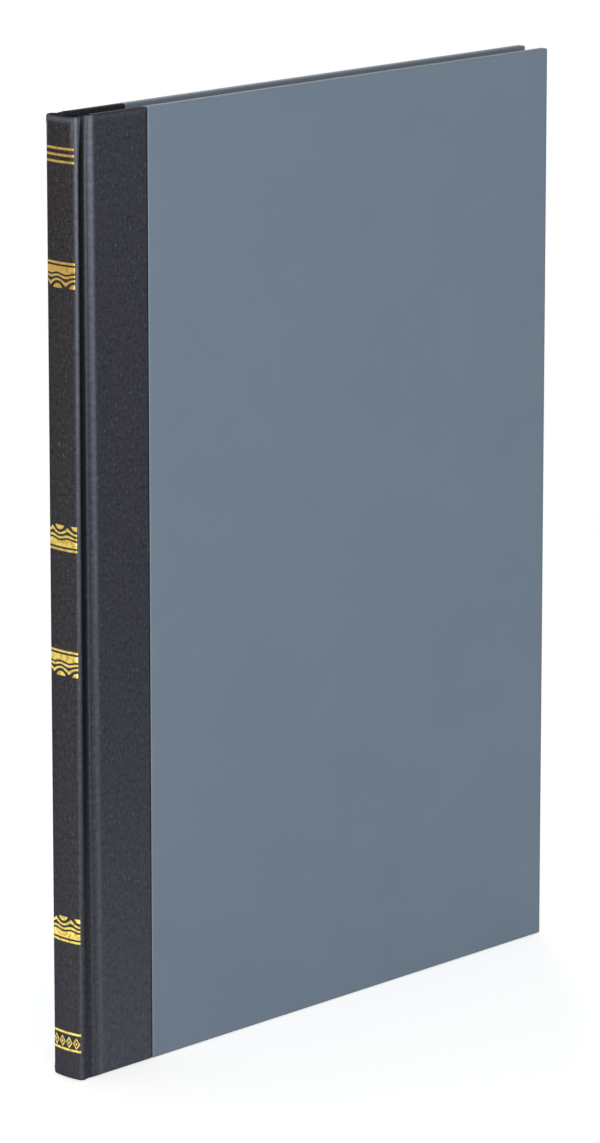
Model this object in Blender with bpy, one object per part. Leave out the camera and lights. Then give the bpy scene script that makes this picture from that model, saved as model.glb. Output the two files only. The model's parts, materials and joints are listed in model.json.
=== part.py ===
"""Case-bound account ledger: a sewn block of leaves in a quarter-cloth case.

Lengths are metres. X runs from the spine to the fore-edge, Y from the front cover to the
back cover, and Z from the tail to the head. The origin is the middle of the footprint.
"""

import math

import bmesh
import bpy
from mathutils import Matrix, Vector

# Leaves and sewing
LEAF_WIDTH = 0.179
LEAF_HEIGHT = 0.252
LEAF_THICKNESS = 0.0001
LEAVES_PER_HALF = 4
SIGNATURES = 6
FOLD_REACH = 0.0060
FOLD_GAP = 0.00005
THREAD_RADIUS = 0.00012
THREAD_MARGIN = 0.012

# Case
SQUARE = 0.003
BOARD_THICKNESS = 0.002
BOARD_CORNER_RADIUS = 0.0008
BOARD_SET = 0.0078
CLOTH_THICKNESS = 0.00025
CLOTH_REACH = 0.0270
SIDING_THICKNESS = 0.00025
TURN_IN = 0.015
ENDPAPER_THICKNESS = 0.00012
SEAM_GAP = 0.0001

# Spine and joint
SPINE_CARD_THICKNESS = 0.0008
SPINE_LEAN = math.radians(12)
SHOULDER_RADIUS = 0.0012
GROOVE_CENTRE = 0.0042
GROOVE_DEPTH = 0.0013
LEDGE_RISE = 0.45
LEDGE_START = 0.30
LEDGE_END = 0.45
HOLLOW = 0.0001
LINING_THICKNESS = 0.00015
MULL_THICKNESS = 0.0002
MULL_REACH = 0.032
MULL_MARGIN = 0.018
HEADBAND_WIDTH = 0.0015
HEADBAND_HEIGHT = 0.0012
HEADBAND_GAP = 0.00005

# Clearances
GLUE_LINE = 0.00003
HINGE_PROUD = 0.0003

# Mesh fineness
ARC_STEPS = 8
WALL_STEPS = 12
CUTTER_PAST = 0.001

# Depths below the outer face of a cover, towards the middle of the book
SKIN = max(CLOTH_THICKNESS, SIDING_THICKNESS)
BOARD_OUT = SKIN + GLUE_LINE
BOARD_IN = BOARD_OUT + BOARD_THICKNESS
LINER_OUT = BOARD_IN + GLUE_LINE
PASTEDOWN_OUT = LINER_OUT + max(SKIN, MULL_THICKNESS) + GLUE_LINE
PASTEDOWN_IN = PASTEDOWN_OUT + ENDPAPER_THICKNESS
FLYLEAF_OUT = PASTEDOWN_IN + GLUE_LINE
FLYLEAF_IN = FLYLEAF_OUT + ENDPAPER_THICKNESS
LEAVES_OUT = FLYLEAF_IN + GLUE_LINE
HALF_THICKNESS = LEAVES_PER_HALF * LEAF_THICKNESS
HALF_PITCH = HALF_THICKNESS + GLUE_LINE
HALF_DEPTH = LEAVES_OUT + SIGNATURES * HALF_PITCH - GLUE_LINE / 2

# Distances from the outermost line of the spine
ARC_END_DEPTH = SHOULDER_RADIUS * (1 - math.sin(SPINE_LEAN))
SPINE_ARC_RADIUS = (HALF_DEPTH - ARC_END_DEPTH) / math.sin(SPINE_LEAN)
SPINE_BULGE = SPINE_ARC_RADIUS * (1 - math.cos(SPINE_LEAN))
SHOULDER_END = SPINE_BULGE + SHOULDER_RADIUS * math.cos(SPINE_LEAN)
LINING_START = SPINE_BULGE + CLOTH_THICKNESS + GLUE_LINE + SPINE_CARD_THICKNESS + HOLLOW
MULL_START = LINING_START + LINING_THICKNESS + GLUE_LINE
FOLD_START = MULL_START + MULL_THICKNESS + GLUE_LINE
GUTTER = FOLD_START + FOLD_REACH
LEAF_END = FOLD_START + LEAF_WIDTH
WIDTH = LEAF_END + SQUARE

# Heights above the tail
HEIGHT = LEAF_HEIGHT + 2 * SQUARE
LEAF_TAIL = SQUARE
LEAF_HEAD = HEIGHT - SQUARE
BOARD_TAIL = SKIN + GLUE_LINE
BOARD_HEAD = HEIGHT - BOARD_TAIL

FRONT = -1
BACK = 1
SIDE_NAMES = {FRONT: "front", BACK: "back"}

# Finishes: colour in 8-bit sRGB, roughness
FINISHES = {
    "bookcloth": ((62, 62, 66), 0.75),
    "siding_paper": ((109, 124, 139), 0.62),
    "greyboard": ((150, 146, 138), 0.90),
    "endpaper": ((226, 222, 210), 0.80),
    "leaf_paper": ((240, 236, 224), 0.85),
    "lining_paper": ((176, 148, 108), 0.85),
    "mull": ((228, 224, 212), 0.95),
    "thread": ((236, 232, 222), 0.70),
    "headband": ((74, 80, 92), 0.65),
}


def clear_scene():
    """Remove every object of the scene."""
    for found in list(bpy.data.objects):
        bpy.data.objects.remove(found, do_unlink=True)


def linear(channel):
    """Linear value of an 8-bit sRGB channel."""
    share = channel / 255
    return share / 12.92 if share <= 0.04045 else ((share + 0.055) / 1.055) ** 2.4


def make_materials():
    """One Principled material for each finish."""
    made = {}
    for name, (colour, roughness) in FINISHES.items():
        material = bpy.data.materials.new(name)
        material.use_nodes = True
        shader = material.node_tree.nodes["Principled BSDF"]
        shader.inputs["Base Color"].default_value = (*map(linear, colour), 1)
        shader.inputs["Roughness"].default_value = roughness
        shader.inputs["Metallic"].default_value = 0
        made[name] = material
    return made


def axis_point(side):
    """Foot of a cover's hinge axis: over the middle of the groove, just proud of the cover."""
    return Vector((place_x(GROOVE_CENTRE), side * (HALF_DEPTH + HINGE_PROUD), 0))


def place_x(from_spine):
    """X of a distance from the outermost line of the spine."""
    return from_spine - WIDTH / 2


def place_y(side, depth):
    """Y of a depth below the outer face of the front or back cover."""
    return side * (HALF_DEPTH - depth)


def link(name, mesh, finish, parent=None):
    """Put a mesh in the scene as a named sub-part, on its hinge's empty if it moves."""
    made = bpy.data.objects.new(name, mesh)
    made.data.materials.append(finish)
    bpy.context.scene.collection.objects.link(made)
    if parent is not None:
        made.parent = parent
        made.matrix_parent_inverse = Matrix.Translation(-parent.location)
    return made


def closed_mesh(name, points, faces):
    """A mesh from points and faces, with its faces turned outwards."""
    mesh = bpy.data.meshes.new(name)
    mesh.from_pydata(points, [], faces)
    work = bmesh.new()
    work.from_mesh(mesh)
    bmesh.ops.recalc_face_normals(work, faces=work.faces)
    work.to_mesh(mesh)
    work.free()
    return mesh


def swept_mesh(name, rings):
    """A closed solid through cross-sections that all have the same number of points."""
    count = len(rings[0])
    points = [point for ring in rings for point in ring]
    faces = []
    for start in range(0, len(points) - count, count):
        for index in range(count):
            after = (index + 1) % count
            faces.append((start + index, start + after, start + count + after, start + count + index))
    last = len(points) - count
    faces.append(tuple(range(count)))
    faces.append(tuple(range(last, last + count)))
    return closed_mesh(name, points, faces)


def upright_prism(name, outline, tail, head):
    """A solid with an outline of X and Y points, from the tail height to the head height."""
    return swept_mesh(name, [[(x, y, z) for x, y in outline] for z in (tail, head)])


def block_mesh(name, x_span, y_span, z_span):
    """A rectangular block."""
    (left, right), (near, far) = x_span, y_span
    outline = [(left, near), (right, near), (right, far), (left, far)]
    return upright_prism(name, outline, *z_span)


def layer(name, side, x_span, depth_span, z_span, finish, parent=None):
    """A flat sheet at a depth below one cover's outer face."""
    spans = [place_x(x) for x in x_span], [place_y(side, depth) for depth in depth_span]
    return link(name, block_mesh(name, *spans, z_span), finish, parent)


def panel_mesh(name, side, x_span, depth_span, z_span, radius):
    """A flat panel whose two corners at the fore-edge are rounded."""
    (left, right), (tail, head) = [place_x(x) for x in x_span], z_span
    outline = [(left, head), (left, tail)]
    for centre_z, start in ((tail + radius, -90), (head - radius, 0)):
        for step in range(ARC_STEPS + 1):
            angle = math.radians(start + 90 * step / ARC_STEPS)
            across = right - radius + radius * math.cos(angle)
            outline.append((across, centre_z + radius * math.sin(angle)))
    depths = [place_y(side, depth) for depth in depth_span]
    return swept_mesh(name, [[(x, y, z) for x, z in outline] for y in depths])


def smooth_step(value):
    """Rises smoothly from 0 to 1 as the value goes from 0 to 1."""
    share = min(1, max(0, value))
    return share * share * (3 - 2 * share)


def groove_depth(from_spine):
    """Depth of the cloth below the cover's face: it dips into the joint, then climbs in two steps."""
    if from_spine <= GROOVE_CENTRE:
        share = (from_spine - SHOULDER_END) / (GROOVE_CENTRE - SHOULDER_END)
        return GROOVE_DEPTH * smooth_step(share)
    share = (from_spine - GROOVE_CENTRE) / (BOARD_SET - GROOVE_CENTRE)
    first = smooth_step(share / LEDGE_START)
    second = smooth_step((share - LEDGE_END) / (1 - LEDGE_END))
    return GROOVE_DEPTH * (1 - LEDGE_RISE * first - (1 - LEDGE_RISE) * second)


def spaced(start, end, steps):
    """Evenly spaced values from start to end."""
    return [start + (end - start) * step / steps for step in range(steps + 1)]


def spine_path(side):
    """Points of the spine's outer line on one side with their inward directions, from the middle out.

    A shallow arc forms the back, a tight one turns over the shoulder, and the groove's near
    wall follows.
    """
    path = []
    for angle in spaced(0, SPINE_LEAN, ARC_STEPS):
        across = SPINE_ARC_RADIUS * math.sin(angle)
        point = SPINE_ARC_RADIUS * (1 - math.cos(angle)), side * across
        path.append((point, (math.cos(angle), -side * math.sin(angle))))
    for angle in spaced(SPINE_LEAN, math.pi / 2, ARC_STEPS)[1:]:
        depth = SHOULDER_RADIUS * (1 - math.sin(angle))
        point = SHOULDER_END - SHOULDER_RADIUS * math.cos(angle), place_y(side, depth)
        path.append((point, (math.cos(angle), -side * math.sin(angle))))
    for from_spine in spaced(SHOULDER_END, GROOVE_CENTRE - SEAM_GAP / 2, WALL_STEPS)[1:]:
        path.append(((from_spine, place_y(side, groove_depth(from_spine))), (0, -side)))
    return path


def offset_point(step, inward, height):
    """A point set inwards from a step of the spine's path."""
    (from_spine, across), (along_x, along_y) = step
    return place_x(from_spine + inward * along_x), across + inward * along_y, height


def make_spine(finishes):
    """The case's spine: its card, and the cloth over it, turned over the card at head and tail."""
    path = spine_path(FRONT)[:0:-1] + spine_path(BACK)
    lip = CLOTH_THICKNESS + GLUE_LINE + SPINE_CARD_THICKNESS
    section = [
        (0, 0),
        (0, HEIGHT),
        (lip, HEIGHT),
        (lip, HEIGHT - CLOTH_THICKNESS),
        (CLOTH_THICKNESS, HEIGHT - CLOTH_THICKNESS),
        (CLOTH_THICKNESS, CLOTH_THICKNESS),
        (lip, CLOTH_THICKNESS),
        (lip, 0),
    ]
    rings = [[offset_point(step, inward, height) for inward, height in section] for step in path]
    link("spine_cloth", swept_mesh("spine_cloth", rings), finishes["bookcloth"])

    card_out = CLOTH_THICKNESS + GLUE_LINE
    card_in = card_out + SPINE_CARD_THICKNESS
    tail = CLOTH_THICKNESS + GLUE_LINE
    head = HEIGHT - tail
    corners = [(card_out, tail), (card_out, head), (card_in, head), (card_in, tail)]
    arc = spine_path(FRONT)[ARC_STEPS:0:-1] + spine_path(BACK)[: ARC_STEPS + 1]
    rings = [[offset_point(step, inward, height) for inward, height in corners] for step in arc]
    link("spine_card", swept_mesh("spine_card", rings), finishes["greyboard"])


def make_cloth_side(side, finishes, axis):
    """The cloth on one cover: out of the groove, over the board, and turned in at head and tail."""
    name = f"{SIDE_NAMES[side]}_cloth_side"
    inner = LINER_OUT + CLOTH_THICKNESS
    rise = spaced(GROOVE_CENTRE + SEAM_GAP / 2, BOARD_SET, 2 * WALL_STEPS)
    rings = []
    for from_spine in rise + [CLOTH_REACH]:
        outer = SKIN - CLOTH_THICKNESS + groove_depth(from_spine)
        wall = outer + CLOTH_THICKNESS
        section = [
            (outer, 0),
            (outer, HEIGHT),
            (inner, HEIGHT),
            (inner, HEIGHT - TURN_IN),
            (LINER_OUT, HEIGHT - TURN_IN),
            (LINER_OUT, HEIGHT - CLOTH_THICKNESS),
            (wall, HEIGHT - CLOTH_THICKNESS),
            (wall, CLOTH_THICKNESS),
            (LINER_OUT, CLOTH_THICKNESS),
            (LINER_OUT, TURN_IN),
            (inner, TURN_IN),
            (inner, 0),
        ]
        across = place_x(from_spine)
        rings.append([(across, place_y(side, depth), height) for depth, height in section])
    link(name, swept_mesh(name, rings), finishes["bookcloth"], axis)


def cut(target, name, mesh):
    """Take a shape out of a sub-part."""
    cutter = bpy.data.objects.new(name, mesh)
    bpy.context.scene.collection.objects.link(cutter)
    cutter.hide_render = True
    cutter.display_type = "WIRE"
    modifier = target.modifiers.new(name, "BOOLEAN")
    modifier.operation = "DIFFERENCE"
    modifier.object = cutter


def make_siding(side, finishes, axis):
    """The paper on one cover, folded round the board's three free edges and turned in."""
    name = f"{SIDE_NAMES[side]}_cover_paper"
    start = CLOTH_REACH + SEAM_GAP
    outer = SKIN - SIDING_THICKNESS
    inner = LINER_OUT + SIDING_THICKNESS
    fold_radius = BOARD_CORNER_RADIUS + GLUE_LINE
    outline = (start, WIDTH), (outer, inner), (0, HEIGHT)
    shell = panel_mesh(name, side, *outline, fold_radius + SIDING_THICKNESS)
    paper = link(name, shell, finishes["siding_paper"], axis)

    past = start - CUTTER_PAST
    hold = (past, WIDTH - SIDING_THICKNESS), (SKIN, LINER_OUT)
    rise = (SIDING_THICKNESS, HEIGHT - SIDING_THICKNESS)
    pocket = panel_mesh(f"{name}_pocket", side, *hold, rise, fold_radius)
    cut(paper, f"{name}_pocket", pocket)
    window = (past, WIDTH - TURN_IN), (BOARD_IN, inner + CUTTER_PAST)
    opening = panel_mesh(f"{name}_window", side, *window, (TURN_IN, HEIGHT - TURN_IN), fold_radius)
    cut(paper, f"{name}_window", opening)


def make_cover(side, finishes, axis):
    """One cover: its board, cloth, paper, mull flange and pasted-down endpaper."""
    label = SIDE_NAMES[side]
    name = f"{label}_board"
    reach = (BOARD_SET, WIDTH - SKIN - GLUE_LINE)
    spans = reach, (BOARD_OUT, BOARD_IN), (BOARD_TAIL, BOARD_HEAD)
    board = panel_mesh(name, side, *spans, BOARD_CORNER_RADIUS)
    link(name, board, finishes["greyboard"], axis)
    make_cloth_side(side, finishes, axis)
    make_siding(side, finishes, axis)

    joint_start = GROOVE_CENTRE + SEAM_GAP / 2
    mull = (joint_start, MULL_REACH), (LINER_OUT, LINER_OUT + MULL_THICKNESS)
    mull_height = (LEAF_TAIL + MULL_MARGIN, LEAF_HEAD - MULL_MARGIN)
    layer(f"{label}_mull_flange", side, *mull, mull_height, finishes["mull"], axis)
    paste = (joint_start, LEAF_END), (PASTEDOWN_OUT, PASTEDOWN_IN)
    layer(f"{label}_pastedown", side, *paste, (LEAF_TAIL, LEAF_HEAD), finishes["endpaper"], axis)


def make_leaves(side, finishes, axis):
    """The flyleaf and the half signatures that turn with one cover, from the cover inwards."""
    label = SIDE_NAMES[side]
    spread = (GUTTER, LEAF_END)
    height = (LEAF_TAIL, LEAF_HEAD)
    fly = (FLYLEAF_OUT, FLYLEAF_IN)
    layer(f"{label}_flyleaf", side, spread, fly, height, finishes["endpaper"], axis)
    for index in range(SIGNATURES):
        top = LEAVES_OUT + index * HALF_PITCH
        depths = (top, top + HALF_THICKNESS)
        layer(f"{label}_leaves_{index + 1}", side, spread, depths, height, finishes["leaf_paper"], axis)


def fold_outline(middle):
    """Outline of a sewn fold: a round back, two arms, and a slit that widens round the thread."""
    half = HALF_THICKNESS + GLUE_LINE / 2
    slit = GLUE_LINE / 2
    channel = THREAD_RADIUS + GLUE_LINE
    bend = place_x(FOLD_START + half)
    arm = place_x(GUTTER - FOLD_GAP)
    outline = [(arm, middle - half)]
    for angle in spaced(-math.pi / 2, -3 * math.pi / 2, 2 * ARC_STEPS):
        outline.append((bend + half * math.cos(angle), middle + half * math.sin(angle)))
    outline += [(arm, middle + half), (arm, middle + slit)]
    mouth = math.asin(slit / channel)
    for angle in spaced(mouth, 2 * math.pi - mouth, 2 * ARC_STEPS):
        outline.append((bend + channel * math.cos(angle), middle + channel * math.sin(angle)))
    outline.append((arm, middle - slit))
    return outline, bend


def make_sewing(finishes):
    """The fixed back edge of each signature and the thread through it."""
    for index in range(SIGNATURES):
        middle = (2 * index + 1 - SIGNATURES) * HALF_PITCH
        outline, bend = fold_outline(middle)
        name = f"signature_fold_{index + 1}"
        fold = upright_prism(name, outline, LEAF_TAIL, LEAF_HEAD)
        link(name, fold, finishes["leaf_paper"])

        name = f"sewing_thread_{index + 1}"
        turns = spaced(0, 2 * math.pi, ARC_STEPS)[:-1]
        ring = [
            (bend + THREAD_RADIUS * math.cos(angle), middle + THREAD_RADIUS * math.sin(angle))
            for angle in turns
        ]
        thread = upright_prism(name, ring, LEAF_TAIL + THREAD_MARGIN, LEAF_HEAD - THREAD_MARGIN)
        link(name, thread, finishes["thread"])


def make_back_lining(finishes):
    """The mull and paper glued over the folds, and the bands at the head and tail of the block."""
    block = HALF_DEPTH - FLYLEAF_OUT
    across = (-block, block)
    mull_height = (LEAF_TAIL + MULL_MARGIN, LEAF_HEAD - MULL_MARGIN)
    mull_span = place_x(MULL_START), place_x(MULL_START + MULL_THICKNESS)
    link("mull_spine", block_mesh("mull_spine", mull_span, across, mull_height), finishes["mull"])
    lining_span = place_x(LINING_START), place_x(LINING_START + LINING_THICKNESS)
    lining = block_mesh("spine_lining", lining_span, across, (LEAF_TAIL, LEAF_HEAD))
    link("spine_lining", lining, finishes["lining_paper"])

    middle = place_x(FOLD_START + HEADBAND_WIDTH / 2)
    for name, seat, way in (
        ("head_band", LEAF_HEAD + HEADBAND_GAP, 1),
        ("tail_band", LEAF_TAIL - HEADBAND_GAP, -1),
    ):
        profile = [
            (middle - HEADBAND_WIDTH / 2 * math.cos(angle), seat + way * HEADBAND_HEIGHT * math.sin(angle))
            for angle in spaced(0, math.pi, ARC_STEPS)
        ]
        rings = [[(x, y, z) for x, z in profile] for y in across]
        link(name, swept_mesh(name, rings), finishes["headband"])


def main():
    """Build the whole ledger."""
    clear_scene()
    finishes = make_materials()
    make_spine(finishes)
    make_back_lining(finishes)
    make_sewing(finishes)
    for side in (FRONT, BACK):
        axis = bpy.data.objects.new(f"{SIDE_NAMES[side]}_hinge_axis", None)
        axis.location = axis_point(side)
        bpy.context.scene.collection.objects.link(axis)
        make_cover(side, finishes, axis)
        make_leaves(side, finishes, axis)


main()
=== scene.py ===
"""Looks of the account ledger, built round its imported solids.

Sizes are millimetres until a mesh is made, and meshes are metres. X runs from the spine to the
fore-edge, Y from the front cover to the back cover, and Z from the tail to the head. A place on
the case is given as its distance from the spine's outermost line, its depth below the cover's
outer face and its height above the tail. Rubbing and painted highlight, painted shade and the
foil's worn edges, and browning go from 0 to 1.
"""

import json
import logging
import math
from abc import ABC, abstractmethod
from collections.abc import Iterable, Sequence
from dataclasses import dataclass, field
from enum import Enum
from pathlib import Path

import bpy
import numpy as np
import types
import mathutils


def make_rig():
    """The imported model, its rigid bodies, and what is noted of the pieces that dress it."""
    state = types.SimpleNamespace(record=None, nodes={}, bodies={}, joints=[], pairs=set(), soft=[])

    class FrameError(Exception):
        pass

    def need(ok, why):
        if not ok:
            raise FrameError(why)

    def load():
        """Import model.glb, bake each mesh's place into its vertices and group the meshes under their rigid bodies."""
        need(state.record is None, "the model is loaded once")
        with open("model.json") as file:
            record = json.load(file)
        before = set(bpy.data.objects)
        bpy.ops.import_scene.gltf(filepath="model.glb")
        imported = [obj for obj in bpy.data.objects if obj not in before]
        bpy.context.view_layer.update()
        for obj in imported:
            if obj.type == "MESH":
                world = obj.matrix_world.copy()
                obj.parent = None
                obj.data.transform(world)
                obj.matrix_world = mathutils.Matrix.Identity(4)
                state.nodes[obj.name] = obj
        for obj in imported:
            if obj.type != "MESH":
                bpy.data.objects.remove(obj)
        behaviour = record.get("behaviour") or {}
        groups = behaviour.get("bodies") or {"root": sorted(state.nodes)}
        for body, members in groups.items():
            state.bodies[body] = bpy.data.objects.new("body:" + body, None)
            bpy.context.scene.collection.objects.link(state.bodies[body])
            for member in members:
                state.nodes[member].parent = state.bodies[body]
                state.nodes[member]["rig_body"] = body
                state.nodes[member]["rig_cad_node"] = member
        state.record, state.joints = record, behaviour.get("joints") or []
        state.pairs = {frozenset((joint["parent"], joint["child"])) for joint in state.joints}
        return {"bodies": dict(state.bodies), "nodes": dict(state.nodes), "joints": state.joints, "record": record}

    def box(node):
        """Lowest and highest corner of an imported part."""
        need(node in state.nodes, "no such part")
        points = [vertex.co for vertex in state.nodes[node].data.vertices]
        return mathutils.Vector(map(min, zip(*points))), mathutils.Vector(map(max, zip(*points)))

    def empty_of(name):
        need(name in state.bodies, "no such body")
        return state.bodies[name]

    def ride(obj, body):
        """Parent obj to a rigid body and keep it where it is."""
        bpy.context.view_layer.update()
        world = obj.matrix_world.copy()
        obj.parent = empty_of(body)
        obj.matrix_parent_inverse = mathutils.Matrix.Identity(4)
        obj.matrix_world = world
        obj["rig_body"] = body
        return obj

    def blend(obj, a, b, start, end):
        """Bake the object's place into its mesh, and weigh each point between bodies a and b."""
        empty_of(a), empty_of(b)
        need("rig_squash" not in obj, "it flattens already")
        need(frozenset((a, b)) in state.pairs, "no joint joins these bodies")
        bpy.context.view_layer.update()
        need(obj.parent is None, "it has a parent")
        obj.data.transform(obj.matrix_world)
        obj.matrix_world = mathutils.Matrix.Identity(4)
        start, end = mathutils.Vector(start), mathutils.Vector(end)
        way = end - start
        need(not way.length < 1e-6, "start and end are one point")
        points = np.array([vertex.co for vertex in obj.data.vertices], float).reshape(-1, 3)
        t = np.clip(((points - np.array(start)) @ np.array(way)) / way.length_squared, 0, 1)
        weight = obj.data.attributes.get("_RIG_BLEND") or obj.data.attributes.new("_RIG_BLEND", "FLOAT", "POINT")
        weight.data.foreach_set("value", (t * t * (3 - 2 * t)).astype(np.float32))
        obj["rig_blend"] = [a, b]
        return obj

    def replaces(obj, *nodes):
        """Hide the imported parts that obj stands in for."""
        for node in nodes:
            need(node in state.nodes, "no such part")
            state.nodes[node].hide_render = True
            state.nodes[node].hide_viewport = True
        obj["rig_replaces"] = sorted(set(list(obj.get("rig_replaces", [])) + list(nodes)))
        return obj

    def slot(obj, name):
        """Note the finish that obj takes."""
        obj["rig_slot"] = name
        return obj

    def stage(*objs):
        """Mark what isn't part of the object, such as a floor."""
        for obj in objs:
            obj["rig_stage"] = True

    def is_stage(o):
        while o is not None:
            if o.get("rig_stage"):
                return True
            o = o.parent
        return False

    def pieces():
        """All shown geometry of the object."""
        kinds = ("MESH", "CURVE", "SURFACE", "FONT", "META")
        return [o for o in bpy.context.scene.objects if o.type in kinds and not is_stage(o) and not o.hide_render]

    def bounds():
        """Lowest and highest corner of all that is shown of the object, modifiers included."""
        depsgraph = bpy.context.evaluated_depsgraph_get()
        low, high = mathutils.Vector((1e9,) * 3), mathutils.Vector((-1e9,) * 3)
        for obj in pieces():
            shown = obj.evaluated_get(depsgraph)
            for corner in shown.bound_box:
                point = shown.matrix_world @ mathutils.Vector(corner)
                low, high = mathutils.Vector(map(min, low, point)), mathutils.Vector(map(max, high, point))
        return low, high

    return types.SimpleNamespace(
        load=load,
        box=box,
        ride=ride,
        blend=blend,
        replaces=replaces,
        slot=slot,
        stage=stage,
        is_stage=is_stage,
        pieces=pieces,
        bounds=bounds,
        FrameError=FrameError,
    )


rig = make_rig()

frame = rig.load()
CAD_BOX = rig.bounds()

LOG = logging.getLogger("ledger")
MM = 0.001
SIZE_FILE = Path("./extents.json")
SPINE_BODY = "bound_spine"
FLAT_MAP = "flat"
# Attributes: rubbing with painted highlight, painted shade (on the foil, worn edges), and browning
RUB_AND_HIGHLIGHT = "rub"
SHADE_AND_WEAR = "hollow"
FADED = "faded"
SHARP_ANGLE = math.radians(38.0)
ROUND_STEPS = 6
# Sizes that follow from other sizes are rounded to the micrometre
SIZE_DIGITS = 3

Colour = tuple[int, int, int]
Range = tuple[float, float]
Triple = tuple[float, float, float]
Values = np.ndarray | float
Socket = bpy.types.NodeSocket

WHOLE: Range = (0.0, 1.0)
# Nearly all values of a noise lie in this range
NOISE_SPAN: Range = (0.3, 0.7)
# Waves of a face's unevenness: length along, length up, start and weight
RIPPLE_WAVES = ((9.1, 31.0, 0.0, 1.0), (-23.0, 17.3, 1.9, 1.0), (13.0, 6.7, 0.7, 0.6))


class Side(Enum):
    """The two covers, each with the direction that its outer face looks along Y."""

    FRONT = -1
    BACK = 1

    @property
    def label(self) -> str:
        """The side's name as the solids and bodies have it."""
        return self.name.lower()

    @property
    def cover(self) -> str:
        """The body of the cover on this side."""
        return f"{self.label}_cover"


class Facing(Enum):
    """Which way the arches of a gilt band open."""

    TAIL = 1
    HEAD = -1


def linear(colour: Colour) -> tuple[float, float, float, float]:
    """Turns a colour as written in 8 bits into the linear one that a shader takes.

    A very dark share of full light is divided by 12.92. Any other has 0.055 added, is divided by
    1.055 and raised to the power of 2.4.

    Args:
        colour: Red, green and blue from 0 to 255.

    Returns:
        Linear red, green, blue and a full alpha.
    """
    share = np.asarray(colour, float) / 255.0
    value = np.where(share <= 0.04045, share / 12.92, ((share + 0.055) / 1.055) ** 2.4)
    return float(value[0]), float(value[1]), float(value[2]), 1.0


def ease(value: np.ndarray) -> np.ndarray:
    """Rises smoothly from 0 to 1: three t squared less two t cubed, with t held from 0 to 1."""
    held = np.clip(value, 0.0, 1.0)
    return held * held * (3.0 - 2.0 * held)


@dataclass(frozen=True)
class Slope:
    """An eased rise from nought at its start to its height, which it has a run further on."""

    start: float
    run: float
    height: float = 1.0

    def at(self, place: np.ndarray) -> np.ndarray:
        """How high it is at a place."""
        return self.height * ease((place - self.start) / self.run)


@dataclass(frozen=True)
class Bell:
    """A rounded crest: its height by e to the power of less the squared distance over the spread."""

    height: float
    spread: float
    centre: float = 0.0

    def at(self, place: np.ndarray) -> np.ndarray:
        """How high it is at a place."""
        return self.height * np.exp(-(((place - self.centre) / self.spread) ** 2))


@dataclass(frozen=True)
class Fade:
    """What dies away from a rim: its height by e to the power of less the distance over the reach."""

    height: float
    reach: float

    def at(self, distance: np.ndarray) -> np.ndarray:
        """How high it still is at a distance from the rim."""
        return self.height * np.exp(-distance / self.reach)


def ripple(along: np.ndarray, up: np.ndarray) -> np.ndarray:
    """Slow unevenness of a hand-made face: the weighted mean of three sines that cross it aslant.

    Args:
        along: Distance from the spine's line.
        up: Height above the tail.

    Returns:
        The unevenness, from -1 to 1.
    """
    total = np.zeros(np.broadcast_shapes(along.shape, up.shape))
    for wide, high, start, weight in RIPPLE_WAVES:
        total += weight * np.sin(along / wide + up / high + start)
    return total / sum(wave[-1] for wave in RIPPLE_WAVES)


def joined(*runs: np.ndarray) -> np.ndarray:
    """Runs of stations set end to end, each run leaving out the station that the last one ended on."""
    return np.concatenate([runs[0], *(run[1:] for run in runs[1:])])


def stops(places: Sequence[float], counts: Sequence[int]) -> np.ndarray:
    """Stations through a row of places, with as many on each stretch as counted, both ends included."""
    return joined(*map(np.linspace, places, places[1:], counts))


def stacked(*axes: Values) -> np.ndarray:
    """Coordinates spread over one grid and set side by side on a last axis."""
    return np.stack(np.broadcast_arrays(*axes), axis=-1)


def rounded_run(
    start: float, end: float, radius: float, count: int, at_start: bool, at_end: bool
) -> tuple[np.ndarray, np.ndarray]:
    """Stations from rim to rim of a face, with a quarter round at the rims that have one.

    On a round the station lies radius times (1 - sin a) inside the rim and the face has dropped
    by 1 - cos a of the radius, for a from a right angle at the rim down to zero. On the flat part
    the stations follow a cosine, so that they lie close near its ends.

    Args:
        start: Place of the first rim.
        end: Place of the last rim.
        radius: Radius of the rounds.
        count: Stations on the flat part.
        at_start: Whether the first rim is rounded.
        at_end: Whether the last rim is rounded.

    Returns:
        The stations, and the share of the radius that the face has dropped at each.
    """
    turn = np.linspace(math.pi / 2, 0.0, ROUND_STEPS + 1)
    inset = radius * (1.0 - np.sin(turn))
    fall = 1.0 - np.cos(turn)
    flat_start = start + radius * at_start
    flat_end = end - radius * at_end
    share = 0.5 - 0.5 * np.cos(np.linspace(0.0, math.pi, count))
    stations = flat_start + (flat_end - flat_start) * share
    drop = np.zeros(count)
    if at_start:
        stations = joined(start + inset, stations)
        drop = joined(fall, drop)
    if at_end:
        stations = joined(stations, (end - inset)[::-1])
        drop = joined(drop, fall[::-1])
    return stations, drop


def grid_quads(number: np.ndarray) -> np.ndarray:
    """Quads between the neighbours on a grid of point numbers, as rows of four."""
    corners = (number[:-1, :-1], number[1:, :-1], number[1:, 1:], number[:-1, 1:])
    return np.stack(corners, axis=-1).reshape(-1, 4)


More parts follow.
